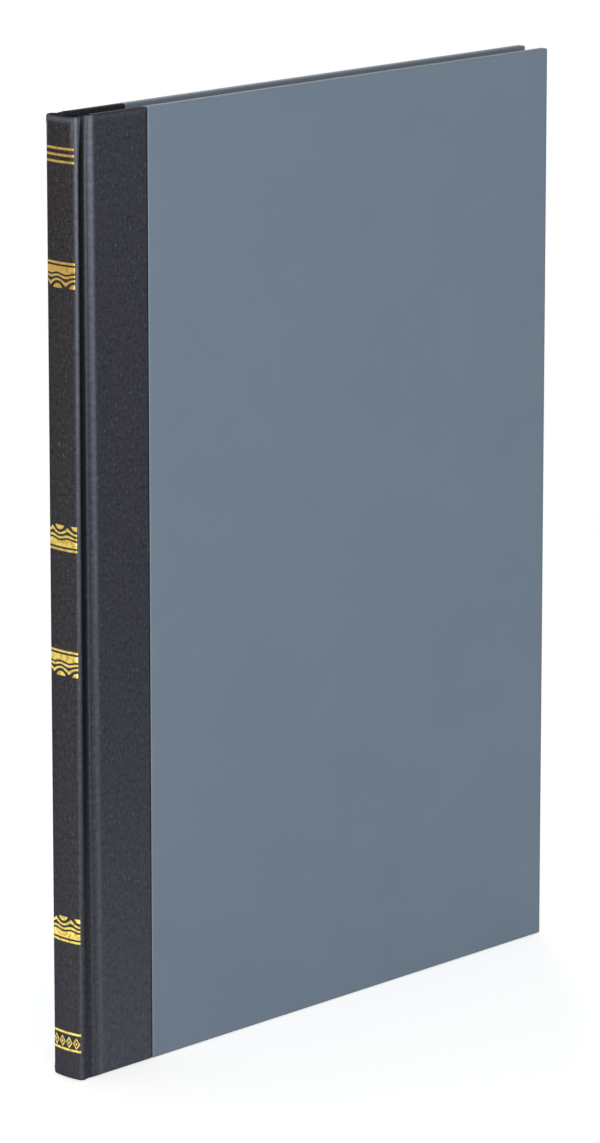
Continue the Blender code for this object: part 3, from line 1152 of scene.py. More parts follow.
@dataclass(frozen=True)
class CaseSizes:
    """Sizes of the case as the solids have them, and where a place on it lies in the shared frame.

    Attributes:
        spine_x: X of the spine's outermost line.
        half_depth: Half the thickness of the closed book.
        width: From the spine's line to the fore-edge.
        height: From the tail to the head.
        spine_lean: Angle at which the spine's shallow arc ends, on both sides of its middle.
        shoulder_radius: Radius of the tight arc from there to the cover's face.
        seam_angle: Angle on the spine's arc where its strip of cloth meets the side pieces.
        board_set: Where the board starts.
        cloth_reach: Where the paper's edge lies on the cloth.
        board_back: Depth of the covered board's inner face.
        square: How far the covers stand out past the leaves.
        turn_in: Width of the turned-in cloth and paper.
    """

    spine_x: float
    half_depth: float
    width: float
    height: float
    spine_lean: float = math.radians(12.0)
    shoulder_radius: float = 1.2
    seam_angle: float = math.radians(10.0)
    board_set: float = 7.8
    cloth_reach: float = 27.0
    board_back: float = 2.56
    square: float = 3.0
    turn_in: float = 15.0

    @classmethod
    def from_frame(cls) -> "CaseSizes":
        """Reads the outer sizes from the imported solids' box."""
        low, high = CAD_BOX
        return cls(low.x / MM, high.y / MM, (high.x - low.x) / MM, high.z / MM)

    @property
    def spine_radius(self) -> float:
        """Radius of the spine's arc: half the depth, less the shoulder's part, over the lean's sine."""
        sine = math.sin(self.spine_lean)
        radius = (self.half_depth - self.shoulder_radius * (1.0 - sine)) / sine
        return round(radius, SIZE_DIGITS)

    @property
    def shoulder_end(self) -> float:
        """Where the shoulder meets the cover's face: past the spine's bulge by the shoulder's run."""
        cosine = math.cos(self.spine_lean)
        end = self.spine_radius * (1.0 - cosine) + self.shoulder_radius * cosine
        return round(end, SIZE_DIGITS)

    def from_end(self, up: np.ndarray) -> np.ndarray:
        """Distance of a height from the nearer of tail and head."""
        return np.minimum(up, self.height - up)

    def place(self, side: Side, along: np.ndarray, depth: Values, up: np.ndarray) -> np.ndarray:
        """Points in the shared frame.

        Args:
            side: The cover whose face the depth is measured from.
            along: Distance from the spine's outermost line.
            depth: Distance inwards from the cover's outer face.
            up: Height above the tail.

        Returns:
            The points, with a last axis of 3.
        """
        return stacked(self.spine_x + along, side.value * (self.half_depth - depth), up)

    def joint_points(self, start: float, end: float) -> dict[str, Triple]:
        """The two points between which a piece bends at the joint, in metres.

        Args:
            start: Distance from the spine's line where it still lies with the spine.
            end: Distance where it lies with what turns.

        Returns:
            The points by the names that blend takes.
        """
        high = 0.5 * self.height * MM
        return {
            "start": ((self.spine_x + start) * MM, 0.0, high),
            "end": ((self.spine_x + end) * MM, 0.0, high),
        }


@dataclass(frozen=True)
class JointGroove:
    """The groove pressed into the cloth along a joint, by distances from the spine's line.

    The cloth over the board's edge is a little askew, nearer to the spine at the head. The groove
    is shallower near the head and much shallower towards the tail, and its lip is worn back at
    the head. Its painted shade is measured from the lip on its way in and from the floor's end on
    its way out, and the painted highlights from the ledge and from the board's edge.
    """

    sizes: CaseSizes
    lip: float = 1.7
    floor_start: float = 3.6
    floor_end: float = 4.15
    ledge: float = 5.1
    ledge_end: float = 5.6
    board_edge: float = 7.65
    askew: float = 1.5
    deep: float = 1.7
    ledge_share: float = 0.5
    head_share: float = 0.62
    head_reach: float = 10.0
    head_lip: float = 0.85
    worn_reach: float = 15.0
    tail_share: float = 0.2
    tail_reach: float = 105.0
    # Painted shade in the groove, and painted highlights with some rubbing on the ledge and board edge
    dark: float = 0.86
    dark_in: Slope = Slope(-0.05, 0.9)
    dark_out: Slope = Slope(0.4, 0.7)
    ledge_rub: Bell = Bell(0.45, 0.4, -0.05)
    edge_rub: Bell = Bell(0.5, 0.8, -0.5)

    def edge(self, up: np.ndarray) -> np.ndarray:
        """Where the cloth comes up on to the board: a straight line a little askew."""
        return self.board_edge + self.askew * (0.5 - up / self.sizes.height)

    def near_head(self, up: np.ndarray) -> np.ndarray:
        """One at the head, easing off to nought where the head's wear ends."""
        return ease(1.0 - (self.sizes.height - up) / self.worn_reach)

    def start(self, up: np.ndarray) -> np.ndarray:
        """Where the groove starts: its lip, which lies further from the spine near the head."""
        return self.lip + self.head_lip * self.near_head(up)

    def strength(self, up: np.ndarray) -> np.ndarray:
        """How deep the groove is, easing up from its share at the head and from that at the tail.

        Args:
            up: Height above the tail.

        Returns:
            The share of its full depth.
        """
        from_head = ease((self.sizes.height - up) / self.head_reach)
        from_tail = ease(up / self.tail_reach)
        at_head = self.head_share + (1.0 - self.head_share) * from_head
        return at_head * (self.tail_share + (1.0 - self.tail_share) * from_tail)

    def depth(self, along: np.ndarray, up: np.ndarray) -> np.ndarray:
        """Depth of the groove: it dips from its lip to its floor, then climbs in two steps to the board.

        Args:
            along: Distance from the spine's line.
            up: Height above the tail.

        Returns:
            The depth, nought outside the groove.
        """
        start = self.start(up)
        down = ease((along - start) / (self.floor_start - start))
        first = ease((along - self.floor_end) / (self.ledge - self.floor_end))
        second = ease((along - self.ledge_end) / (self.edge(up) - self.ledge_end))
        climb = self.ledge_share * first + (1.0 - self.ledge_share) * second
        return self.deep * self.strength(up) * (down - climb)

    def crease(self, along: np.ndarray, up: np.ndarray) -> np.ndarray:
        """Painted shade in the groove: full over its floor, easing off up both walls."""
        share = self.dark_in.at(along - self.start(up)) - self.dark_out.at(along - self.floor_end)
        return self.dark * self.strength(up) * share

    def rub(self, along: np.ndarray, up: np.ndarray) -> np.ndarray:
        """Painted highlight on the ledge and the cloth over the board's edge, with rubbing: a bell on each."""
        return self.ledge_rub.at(along - self.ledge) + self.edge_rub.at(along - self.edge(up))


@dataclass(frozen=True)
class ClothWear:
    """Where the bookcloth is worn and browned, and where light and shade are painted on it.

    A rise is a height as a share of the whole. The shoulder's painted highlight, with some
    rubbing, lies round an angle, in degrees, that grows with the rise and falls back by a power
    of it.
    """

    sizes: CaseSizes
    groove: JointGroove
    # Lighter band over the head cap: partly rubbing, partly painted highlight on its ridge
    head_rub: Bell = Bell(0.27, 0.75, 0.75)
    head_rub_loss: Slope = Slope(1.0, 6.0, 0.8)
    # Painted shade in the folds at head and tail
    head_grime: Fade = Fade(0.45, 0.25)
    tail_grime: Fade = Fade(0.3, 0.35)
    tail_brown: float = 0.4
    # Painted light from the floor, growing towards the foot of the spine and the side pieces
    spine_foot: float = 0.08
    spine_foot_power: float = 1.5
    side_foot: float = 0.06
    side_foot_power: float = 2.2
    # Painted highlight on the shoulder, with some rubbing, stronger towards the head where the light catches it
    shoulder_rub: Bell = Bell(0.64, math.radians(24.0))
    shoulder_angle: float = 42.0
    shoulder_turn: float = 34.0
    shoulder_turn_back: float = 8.0
    shoulder_turn_power: int = 4
    shoulder_run: float = 0.7
    head_shoulder_run: float = 0.6
    # The ridges' painted highlights grow towards the head by these
    ridge_least: float = 0.2
    ridge_power: float = 2.2
    # Painted highlight, with some rubbing, on the shoulder's corner at the head
    corner_rub: float = 0.28
    on_face: Slope = Slope(4.0, 4.0)
    # Painted light on the face towards its foot, and painted sheen towards its head
    face_foot: float = 0.11
    face_foot_power: int = 3
    face_head: float = 0.045
    face_head_power: int = 2

    def over_head(self, up: np.ndarray) -> np.ndarray:
        """Rubbing and painted highlight over the turned-in head's cap: a bell a little below the head."""
        return self.head_rub.at(self.sizes.height - up)

    def end_grime(self, up: np.ndarray) -> np.ndarray:
        """Painted shade in the folds at head and tail, which dies away within a millimetre."""
        return self.head_grime.at(self.sizes.height - up) + self.tail_grime.at(up)

    def browning(self, up: np.ndarray) -> np.ndarray:
        """How much the spine has browned: more towards the head, in a straight line."""
        return self.tail_brown + (1.0 - self.tail_brown) * up / self.sizes.height

    def side_browning(self, angle: np.ndarray, up: np.ndarray) -> np.ndarray:
        """The spine's browning, easing off round the shoulder to nought on the cover's face."""
        lean = self.sizes.spine_lean
        return self.browning(up) * (1.0 - ease((angle - lean) / (math.pi / 2 - lean)))

    def spine_rub(self, up: np.ndarray) -> np.ndarray:
        """The head cap's rubbing and painted highlight, and painted light growing towards the foot."""
        rise = up / self.sizes.height
        return self.over_head(up) + self.spine_foot * (1.0 - rise) ** self.spine_foot_power

    def side_rub(self, along: np.ndarray, angle: np.ndarray, up: np.ndarray) -> np.ndarray:
        """Rubbing and painted light of a side piece.

        Shoulder, ledge and board edge carry painted highlights, with some rubbing: bells that grow
        towards the head by a power of the rise. The shoulder's corner at the head gets an even painted
        highlight, and the head cap's band only adds what is more than that. The face gets painted light
        towards its foot and painted sheen towards its head, and the foot painted light all along, each
        by a power of how low or high the place is.

        Args:
            along: Distance from the spine's line.
            angle: Angle of the inward direction, which tells places on the shoulder apart.
            up: Height above the tail.

        Returns:
            The rubbing and painted light.
        """
        sizes = self.sizes
        rise = up / sizes.height
        worn = self.groove.near_head(up)
        past = np.maximum(along - sizes.shoulder_end, 0.0)
        fading = 1.0 - ease(past / (self.shoulder_run + self.head_shoulder_run * worn))
        turned_back = self.shoulder_turn_back * rise**self.shoulder_turn_power
        middle = self.shoulder_angle + self.shoulder_turn * rise - turned_back
        shoulder = self.shoulder_rub.at(angle - np.radians(middle))
        growth = self.ridge_least + (1.0 - self.ridge_least) * rise**self.ridge_power
        ridges = (shoulder * fading + self.groove.rub(along, up)) * growth
        past_seam = ease((angle - sizes.seam_angle) / (sizes.spine_lean - sizes.seam_angle))
        corner = self.corner_rub * worn * fading * past_seam
        # The head cap's painted highlight with rubbing, less where the corner is already lit
        head = self.over_head(up) * (1.0 - self.head_rub_loss.at(along))
        head = np.maximum(head, corner) - corner
        # Painted light towards the foot and painted sheen towards the head
        low = self.face_foot * (1.0 - rise) ** self.face_foot_power
        high = self.face_head * rise**self.face_head_power
        face = self.on_face.at(along) * (low + high)
        foot = self.side_foot * (1.0 - rise) ** self.side_foot_power
        return np.clip(np.maximum(ridges, corner) + head + face + foot, 0.0, 1.0)


@dataclass
class ClothSkin:
    """The bookcloth: a strip over the spine, and a side piece through each joint on to its cover.

    The border's dip and painted shade are measured from the paper's edge, what lies on the board
    from the board's start, and the cap from the nearer end of the book.
    """

    sizes: CaseSizes
    finishes: Finishes
    groove: JointGroove
    wear: ClothWear
    double: float = 0.62
    fold_radius: float = 0.5
    under_paper: float = 0.6
    cap: Bell = Bell(0.10, 0.9, 1.5)
    past_cap: Slope = Slope(4.0, 4.0)
    face_set: Slope = Slope(0.0, 1.6, 0.06)
    on_board: Slope = Slope(-0.5, 0.4)
    uneven: Slope = Slope(2.0, 2.0, 0.025)
    border_dip: Slope = Slope(-0.75, 0.55, 0.14)
    # Painted shade along the paper's edge, and over the cloth's inner face
    border_dark: Slope = Slope(-0.55, 0.4, 0.9)
    inner_dark: float = 0.6
    bend_start: float = 3.0
    bend_end: float = 5.8
    joint_end: float = 9.0
    border_start: float = 26.0
    rows: int = 120
    spine_steps: int = 41
    back_steps: int = 5
    shoulder_steps: int = 19
    face_steps: tuple[int, ...] = (60, 18, 17)

    def heights(self) -> tuple[np.ndarray, np.ndarray]:
        """Stations from tail to head with the folds' rounds, and the share of the drop at each."""
        return rounded_run(0.0, self.sizes.height, self.fold_radius, self.rows, True, True)

    def swell(self, up: np.ndarray) -> np.ndarray:
        """How far the cloth swells where it turns in over the card's ends: a bell near each end."""
        return self.cap.at(self.sizes.from_end(up))

    def build_spine(self) -> None:
        """Makes the strip over the spine: a shallow arc swept from tail to head."""
        sizes, wear = self.sizes, self.wear
        angle = np.linspace(-sizes.seam_angle, sizes.seam_angle, self.spine_steps)[:, None]
        up, drop = (run[None, :] for run in self.heights())
        fold = drop * 0.5 * self.double
        faces = []
        for inward in (fold - self.swell(up), self.double - fold):
            radius = sizes.spine_radius - inward
            along = sizes.spine_radius - radius * np.cos(angle)
            faces.append(stacked(sizes.spine_x + along, radius * np.sin(angle), up))
        flat = stacked(sizes.spine_radius * angle, up)
        # Painted light and highlight, painted shade in the end folds, and browning
        sheet = Sheet(*faces, flat, wear.spine_rub(up), wear.end_grime(up), wear.browning(up))
        piece = make_piece("spine_cloth_strip", [sheet], self.finishes.cloth, "bookcloth")
        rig.replaces(piece, "spine_cloth")
        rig.ride(piece, SPINE_BODY)

    def side_line(self) -> tuple[np.ndarray, np.ndarray, np.ndarray]:
        """The cloth's line from the strip's edge over the shoulder and along the cover.

        The rest of the spine's shallow arc comes first, then the shoulder's tight arc, then the
        straight run of the cover's face.

        Returns:
            Distance from the spine's line, depth, and the angle of the inward direction.
        """
        sizes = self.sizes
        back = np.linspace(sizes.seam_angle, sizes.spine_lean, self.back_steps)
        turn = np.linspace(sizes.spine_lean, math.pi / 2, self.shoulder_steps)[1:]
        end = sizes.cloth_reach + self.under_paper
        places = sizes.shoulder_end, self.joint_end, self.border_start, end
        face = stops(places, self.face_steps)[1:]
        on_back = sizes.spine_radius * (1.0 - np.cos(back))
        on_shoulder = sizes.shoulder_end - sizes.shoulder_radius * np.cos(turn)
        along = np.concatenate([on_back, on_shoulder, face])
        back_depth = sizes.half_depth - sizes.spine_radius * np.sin(back)
        shoulder_depth = sizes.shoulder_radius * (1.0 - np.sin(turn))
        depth = np.concatenate([back_depth, shoulder_depth, np.zeros_like(face)])
        angle = np.concatenate([back, turn, np.full_like(face, math.pi / 2)])
        return along, depth, angle

    def face_relief(self, along: np.ndarray, up: np.ndarray, dip: np.ndarray) -> np.ndarray:
        """How far the face lies in from its plain line.

        Over the board it eases in by a set amount, a slow unevenness starts past the shoulder and
        dies away where the cloth dips, and the dip itself is added.

        Args:
            along: Distance from the spine's line.
            up: Height above the tail.
            dip: How far the cloth dips under the paper's edge.

        Returns:
            The extra depth.
        """
        set_in = self.face_set.at(along - self.sizes.board_set)
        return set_in + dip + self.uneven.at(along) * ripple(along, up) * (1.0 - dip)

    def build_side(self, side: Side) -> None:
        """Makes a side piece: the line carried from tail to head, turned in at both ends.

        The cloth dips a little on all sides where the paper's edge lies on it. Over the board the
        sheet is as thick as the covered board, and in the joint as two thicknesses of cloth.

        Args:
            side: The cover that it runs on to.
        """
        sizes, wear = self.sizes, self.wear
        along, depth, angle = (run[:, None] for run in self.side_line())
        up, drop = (run[None, :] for run in self.heights())
        dip = self.border_dip.at(along - sizes.cloth_reach)
        line = depth + self.groove.depth(along, up) + self.face_relief(along, up, dip)
        sunk_up = up + dip * (1.0 - 2.0 * up / sizes.height)

        over_board = self.on_board.at(along - sizes.board_set)
        back = (sizes.board_back - dip - line) * over_board + self.double * (1.0 - over_board)
        radius = np.minimum(self.fold_radius, 0.5 * back)
        swell = self.swell(up) * (1.0 - self.past_cap.at(along))
        faces = []
        for inward in (drop * radius - swell, back - drop * radius):
            out, down = along + inward * np.cos(angle), line + inward * np.sin(angle)
            faces.append(sizes.place(side, out, down, sunk_up))

        steps = np.hypot(np.diff(along, axis=0), np.diff(depth, axis=0))
        walked = np.concatenate([[[0.0]], np.cumsum(steps, axis=0)])
        length = sizes.spine_radius * sizes.seam_angle + walked
        flat = stacked(side.value * length, up)
        # Painted shade along the paper's edge, in the groove and in the end folds
        border = self.border_dark.at(along - sizes.cloth_reach)
        crease = np.maximum(self.groove.crease(along, up) + border, wear.end_grime(up))
        rub, browned = wear.side_rub(along, angle, up), wear.side_browning(angle, up)
        sheet = Sheet(*faces, flat, rub, crease, browned, self.inner_dark)
        piece = make_piece(f"{side.label}_joint_cloth", [sheet], self.finishes.cloth, "bookcloth")
        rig.replaces(piece, f"{side.label}_cloth_side")
        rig.blend(piece, SPINE_BODY, side.cover, **sizes.joint_points(self.bend_start, self.bend_end))


@dataclass
class CoverPaper:
    """The siding paper folded round a board, and the pastedown inside it.

    The lip is the siding's edge on the cloth, and its rise and painted highlight are measured
    from there. The step is where the pastedown sinks inside the turn-ins, and it is measured from
    their edge.
    """

    sizes: CaseSizes
    finishes: Finishes
    edge_radius: float = 0.38
    corner_radius: float = 0.4
    lip_drop: float = 0.12
    lip_rise: Slope = Slope(0.0, 0.22)
    lip_end: float = 0.3
    # Painted highlight along the lip, where the paper's edge stands on the cloth
    lip_rub: Bell = Bell(0.35, 0.35)
    uneven: float = 0.015
    # Painted highlight with some rubbing at head and tail, a darkening next to them, painted shade at the fore-edge
    # and inside
    end_rub: Fade = Fade(0.08, 0.45)
    end_soil: Fade = Fade(0.3, 0.3)
    fore_edge_soil: Fade = Fade(0.65, 0.4)
    inner_dark: float = 0.25
    lip_steps: int = 6
    face_steps: int = 56
    rise_steps: int = 90
    pastedown_start: float = 2.3
    pastedown_out: float = 2.575
    pastedown_in: float = 2.70
    joint_end: float = 8.6
    sunk: Slope = Slope(6.0, 2.5, 0.07)
    step: Slope = Slope(-0.5, 1.0)
    step_half: float = 1.2
    pastedown_run: tuple[int, ...] = (36, 24, 9, 6)
    pastedown_rise: tuple[int, ...] = (5, 9, 24, 9, 5)
    bend_start: float = 3.2
    bend_end: float = 5.8

    def round_corners(self, along: np.ndarray, up: np.ndarray) -> tuple[np.ndarray, np.ndarray]:
        """Draws the square fore-edge corners of a grid in to quarter circles.

        A point in the corner's square goes along its line from the circle's centre, so that the
        square's rim lands on the circle.

        Args:
            along: Distance from the spine's line.
            up: Height above the tail.

        Returns:
            Both, with the corners drawn in.
        """
        radius = self.corner_radius
        centre_along = self.sizes.width - radius
        middle = 0.5 * self.sizes.height
        reach_up = np.abs(up - middle) - (middle - radius)
        reach_along = along - centre_along
        inside = (reach_up > 0) & (reach_along > 0)
        safe = np.where(inside, np.hypot(reach_along, reach_up), 1.0)
        draw = np.where(inside, np.maximum(reach_along, reach_up) / safe, 1.0)
        new_up = middle + np.sign(up - middle) * (middle - radius + reach_up * draw)
        return (
            np.where(inside, centre_along + reach_along * draw, along),
            np.where(inside, new_up, up),
        )

    def siding_marks(self, along: np.ndarray, up: np.ndarray) -> tuple[np.ndarray, np.ndarray]:
        """Light and shade painted on the siding paper.

        A painted highlight with some rubbing dies away from head and tail, and another is a bell
        on the edge over the cloth. Painted shade dies away from the fore-edge, and a darkening from
        head and tail.

        Args:
            along: Distance from the spine's line.
            up: Height above the tail.

        Returns:
            Painted highlight with some rubbing, and painted shade with the darkening at head and tail.
        """
        sizes = self.sizes
        from_end = sizes.from_end(up)
        rub = self.end_rub.at(from_end) + self.lip_rub.at(along - sizes.cloth_reach)
        fore_edge = self.fore_edge_soil.at(sizes.width - along)
        return rub, np.maximum(fore_edge, self.end_soil.at(from_end))

    def build_siding(self, side: Side) -> None:
        """Makes the paper-covered board: two faces with rounded rims that meet round the board's edge.

        Args:
            side: The cover.
        """
        sizes = self.sizes
        lip_end = sizes.cloth_reach + self.lip_end
        lip = np.linspace(sizes.cloth_reach, lip_end, self.lip_steps)[:-1]
        radius = self.edge_radius
        face, face_drop = rounded_run(lip_end, sizes.width, radius, self.face_steps, False, True)
        run = np.concatenate([lip, face])
        run_drop = np.concatenate([np.zeros_like(lip), face_drop])
        rise, rise_drop = rounded_run(0.0, sizes.height, radius, self.rise_steps, True, True)
        along, up = np.meshgrid(run, rise, indexing="ij")
        drop = 1.0 - np.outer(1.0 - run_drop, 1.0 - rise_drop)
        lip_drop = self.lip_drop * (1.0 - self.lip_rise.at(along - sizes.cloth_reach))
        uneven = self.uneven * ripple(along, up) * (1.0 - drop)
        along, up = self.round_corners(along, up)
        outside = sizes.place(side, along, drop * radius + lip_drop + uneven, up)
        inside = sizes.place(side, along, sizes.board_back - drop * radius, up)
        # Painted highlight and painted shade, with more shade on the inner face
        marks = self.siding_marks(along, up)
        sheet = Sheet(outside, inside, stacked(along, up), *marks, inner_hollow=self.inner_dark)
        piece = make_piece(f"{side.label}_siding", [sheet], self.finishes.siding, "siding_paper")
        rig.replaces(piece, f"{side.label}_cover_paper")
        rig.ride(piece, side.cover)

    def build_pastedown(self, side: Side) -> None:
        """Makes the pastedown: a sheet over the joint and the board that sinks inside the turn-ins.

        Args:
            side: The cover.
        """
        sizes = self.sizes
        rims = sizes.square, sizes.turn_in - self.step_half, sizes.turn_in + self.step_half
        to_fore_edge = [sizes.width - rim for rim in reversed(rims)]
        to_head = [sizes.height - rim for rim in reversed(rims)]
        run = stops([self.pastedown_start, self.joint_end, *to_fore_edge], self.pastedown_run)
        rise = stops([*rims, *to_head], self.pastedown_rise)
        along, up = np.meshgrid(run, rise, indexing="ij")
        from_rim = np.minimum(sizes.from_end(up), sizes.width - along)
        sunk = self.sunk.at(along) * self.step.at(from_rim - sizes.turn_in)
        pasted = sizes.place(side, along, self.pastedown_out, up)
        seen = sizes.place(side, along, self.pastedown_in - sunk, up)
        sheet = Sheet(pasted, seen, stacked(along, up))
        piece = make_piece(f"{side.label}_endpaper_board", [sheet], self.finishes.endpaper, "endpaper")
        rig.replaces(piece, f"{side.label}_pastedown")
        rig.blend(piece, SPINE_BODY, side.cover, **sizes.joint_points(self.bend_start, self.bend_end))


@dataclass
class TextBlock:
    """The leaves: four sheets to each half signature, a flyleaf on each side, and the bands."""

    sizes: CaseSizes
    finishes: Finishes
    halves: int = 6
    leaves_per_half: int = 4
    fold_start: float = 2.063
    gutter: float = 8.063
    tuck: float = 0.5
    bend: float = 9.0
    past_bend: float = 1.0
    rim: float = 2.4
    rim_rub: Fade = Fade(0.8, 0.6)
    leaf_share: float = 0.86
    trim: Range = (0.02, 0.10)
    flyleaf_trim: float = 0.04
    flyleaf_set: float = 0.2
    seed: int = 7
    run_steps: tuple[int, ...] = (30, 9, 5)
    rise_steps: tuple[int, ...] = (5, 4, 5)
    band_turns: float = 9.0
    band_steps: int = 120
    section_steps: int = 15
    section_rim: float = 6.0
    rib_depth: float = 0.07
    rib_lean: float = 0.8
    band_end: float = 0.72
    band_end_power: int = 8
    random: np.random.Generator = field(init=False)

    def __post_init__(self) -> None:
        """Starts the seeded draws for the leaves' trimming."""
        self.random = np.random.default_rng(self.seed)

    def leaf(self, near: float, far: float, start: float, trims: np.ndarray) -> Sheet:
        """One leaf: a flat sheet, with close stations at its rims and where it bends out of the gutter.

        Args:
            near: Y of its face towards the front.
            far: Y of its face towards the back.
            start: Distance from the spine's line where it starts.
            trims: What the knife took off fore-edge, tail and head, in millimetres.

        Returns:
            The sheet.
        """
        sizes = self.sizes
        end = sizes.width - sizes.square - trims[0]
        bent = self.gutter + self.bend + self.past_bend
        low, high = sizes.square + trims[1], sizes.height - sizes.square - trims[2]
        run = stops((start, bent, end - self.rim, end), self.run_steps)
        rise = stops((low, low + self.rim, high - self.rim, high), self.rise_steps)
        along, up = np.meshgrid(run, rise, indexing="ij")
        faces = [stacked(sizes.spine_x + along, across, up) for across in (near, far)]
        from_rim = np.minimum(np.minimum(up - low, high - up), end - along)
        return Sheet(*faces, stacked(along, up), self.rim_rub.at(from_rim))

    def bend_points(self) -> dict[str, Triple]:
        """The points between which every leaf bends out of the gutter."""
        return self.sizes.joint_points(self.gutter, self.gutter + self.bend)

    def build_half(self, side: Side, index: int) -> None:
        """Makes the four leaves of one half signature.

        Args:
            side: The side of the book that it is on.
            index: Its number, counted from the cover.
        """
        node = f"{side.label}_leaves_{index}"
        low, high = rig.box(node)
        count = self.leaves_per_half
        pitch = (high.y - low.y) / MM / count
        trims = self.random.uniform(*self.trim, (count, 3))
        near = low.y / MM + pitch * (np.arange(count) + 0.5 * (1.0 - self.leaf_share))
        far = near + self.leaf_share * pitch
        start = self.gutter - self.tuck
        sheets = [self.leaf(*faces, start, trim) for *faces, trim in zip(near, far, trims)]
        piece = make_piece(f"{node}_sheets", sheets, self.finishes.leaf, "leaf_paper")
        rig.replaces(piece, node)
        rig.blend(piece, SPINE_BODY, node, **self.bend_points())

    def build_flyleaf(self, side: Side) -> None:
        """Makes the free endpaper, from the fold at the spine to the fore-edge.

        Args:
            side: The side of the book that it is on.
        """
        node = f"{side.label}_flyleaf"
        low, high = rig.box(node)
        trims = np.full(3, self.flyleaf_trim)
        sheet = self.leaf(low.y / MM, high.y / MM, self.fold_start + self.flyleaf_set, trims)
        piece = make_piece(f"{node}_sheet", [sheet], self.finishes.endpaper, "endpaper")
        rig.replaces(piece, node)
        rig.blend(piece, SPINE_BODY, node, **self.bend_points())

    def build_band(self, node: str) -> None:
        """Makes a head band: an oval roll along the block's back, ribbed by its winding.

        The section is an ellipse, cut into an upper and a lower half. Its radii rise and fall
        along the roll as the absolute cosine of the winding's turns, which lean round the roll,
        and they draw in at the roll's ends by the root of one less a high power of the run.

        Args:
            node: The band's solid, whose box it fills.
        """
        low, high = (np.array(corner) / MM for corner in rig.box(node))
        centre, half = 0.5 * (low + high), 0.5 * (high - low)
        run = np.linspace(-1.0, 1.0, self.band_steps)[:, None]
        rims = self.section_rim, 180.0 - self.section_rim
        turn = np.radians(np.linspace(*rims, self.section_steps))[None, :]
        wound = np.cos(math.pi * self.band_turns * run + self.rib_lean * np.cos(turn))
        rib = 1.0 - self.rib_depth * (1.0 - np.abs(wound))
        ends = np.sqrt(np.clip(1.0 - run**self.band_end_power, 0.0, 1.0))
        rib = rib * (self.band_end + (1.0 - self.band_end) * ends)
        faces = []
        for sign in (1.0, -1.0):
            x = centre[0] + half[0] * rib * np.cos(turn)
            y = centre[1] + half[1] * run
            z = centre[2] + sign * half[2] * rib * np.sin(turn)
            faces.append(stacked(x, y, z))
        roll = Sheet(*faces, stacked(half[1] * run, half[0] * turn))
        piece = make_piece(f"{node}_roll", [roll], self.finishes.band, "headband")
        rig.replaces(piece, node)
        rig.ride(piece, SPINE_BODY)

    def build(self) -> None:
        """Makes every leaf from the covers inwards, then the bands, and dresses the sewn folds."""
        numbers = range(1, self.halves + 1)
        for side in Side:
            self.build_flyleaf(side)
            for index in numbers:
                self.build_half(side, index)
        self.build_band("head_band")
        self.build_band("tail_band")
        dress([f"signature_fold_{number}" for number in numbers], self.finishes.fold)
        dress([f"sewing_thread_{number}" for number in numbers], self.finishes.thread)


@dataclass(frozen=True)
class BandStrip:
    """One strip of a gilt band, by how far down the band it starts and ends.

    Attributes:
        crest: Start and end over the middle of an arch.
        cusp: Start and end between two arches.
        pointed: Whether the strip comes to a point between arches, or waves smoothly.
    """

    crest: Range
    cusp: Range
    pointed: bool = False


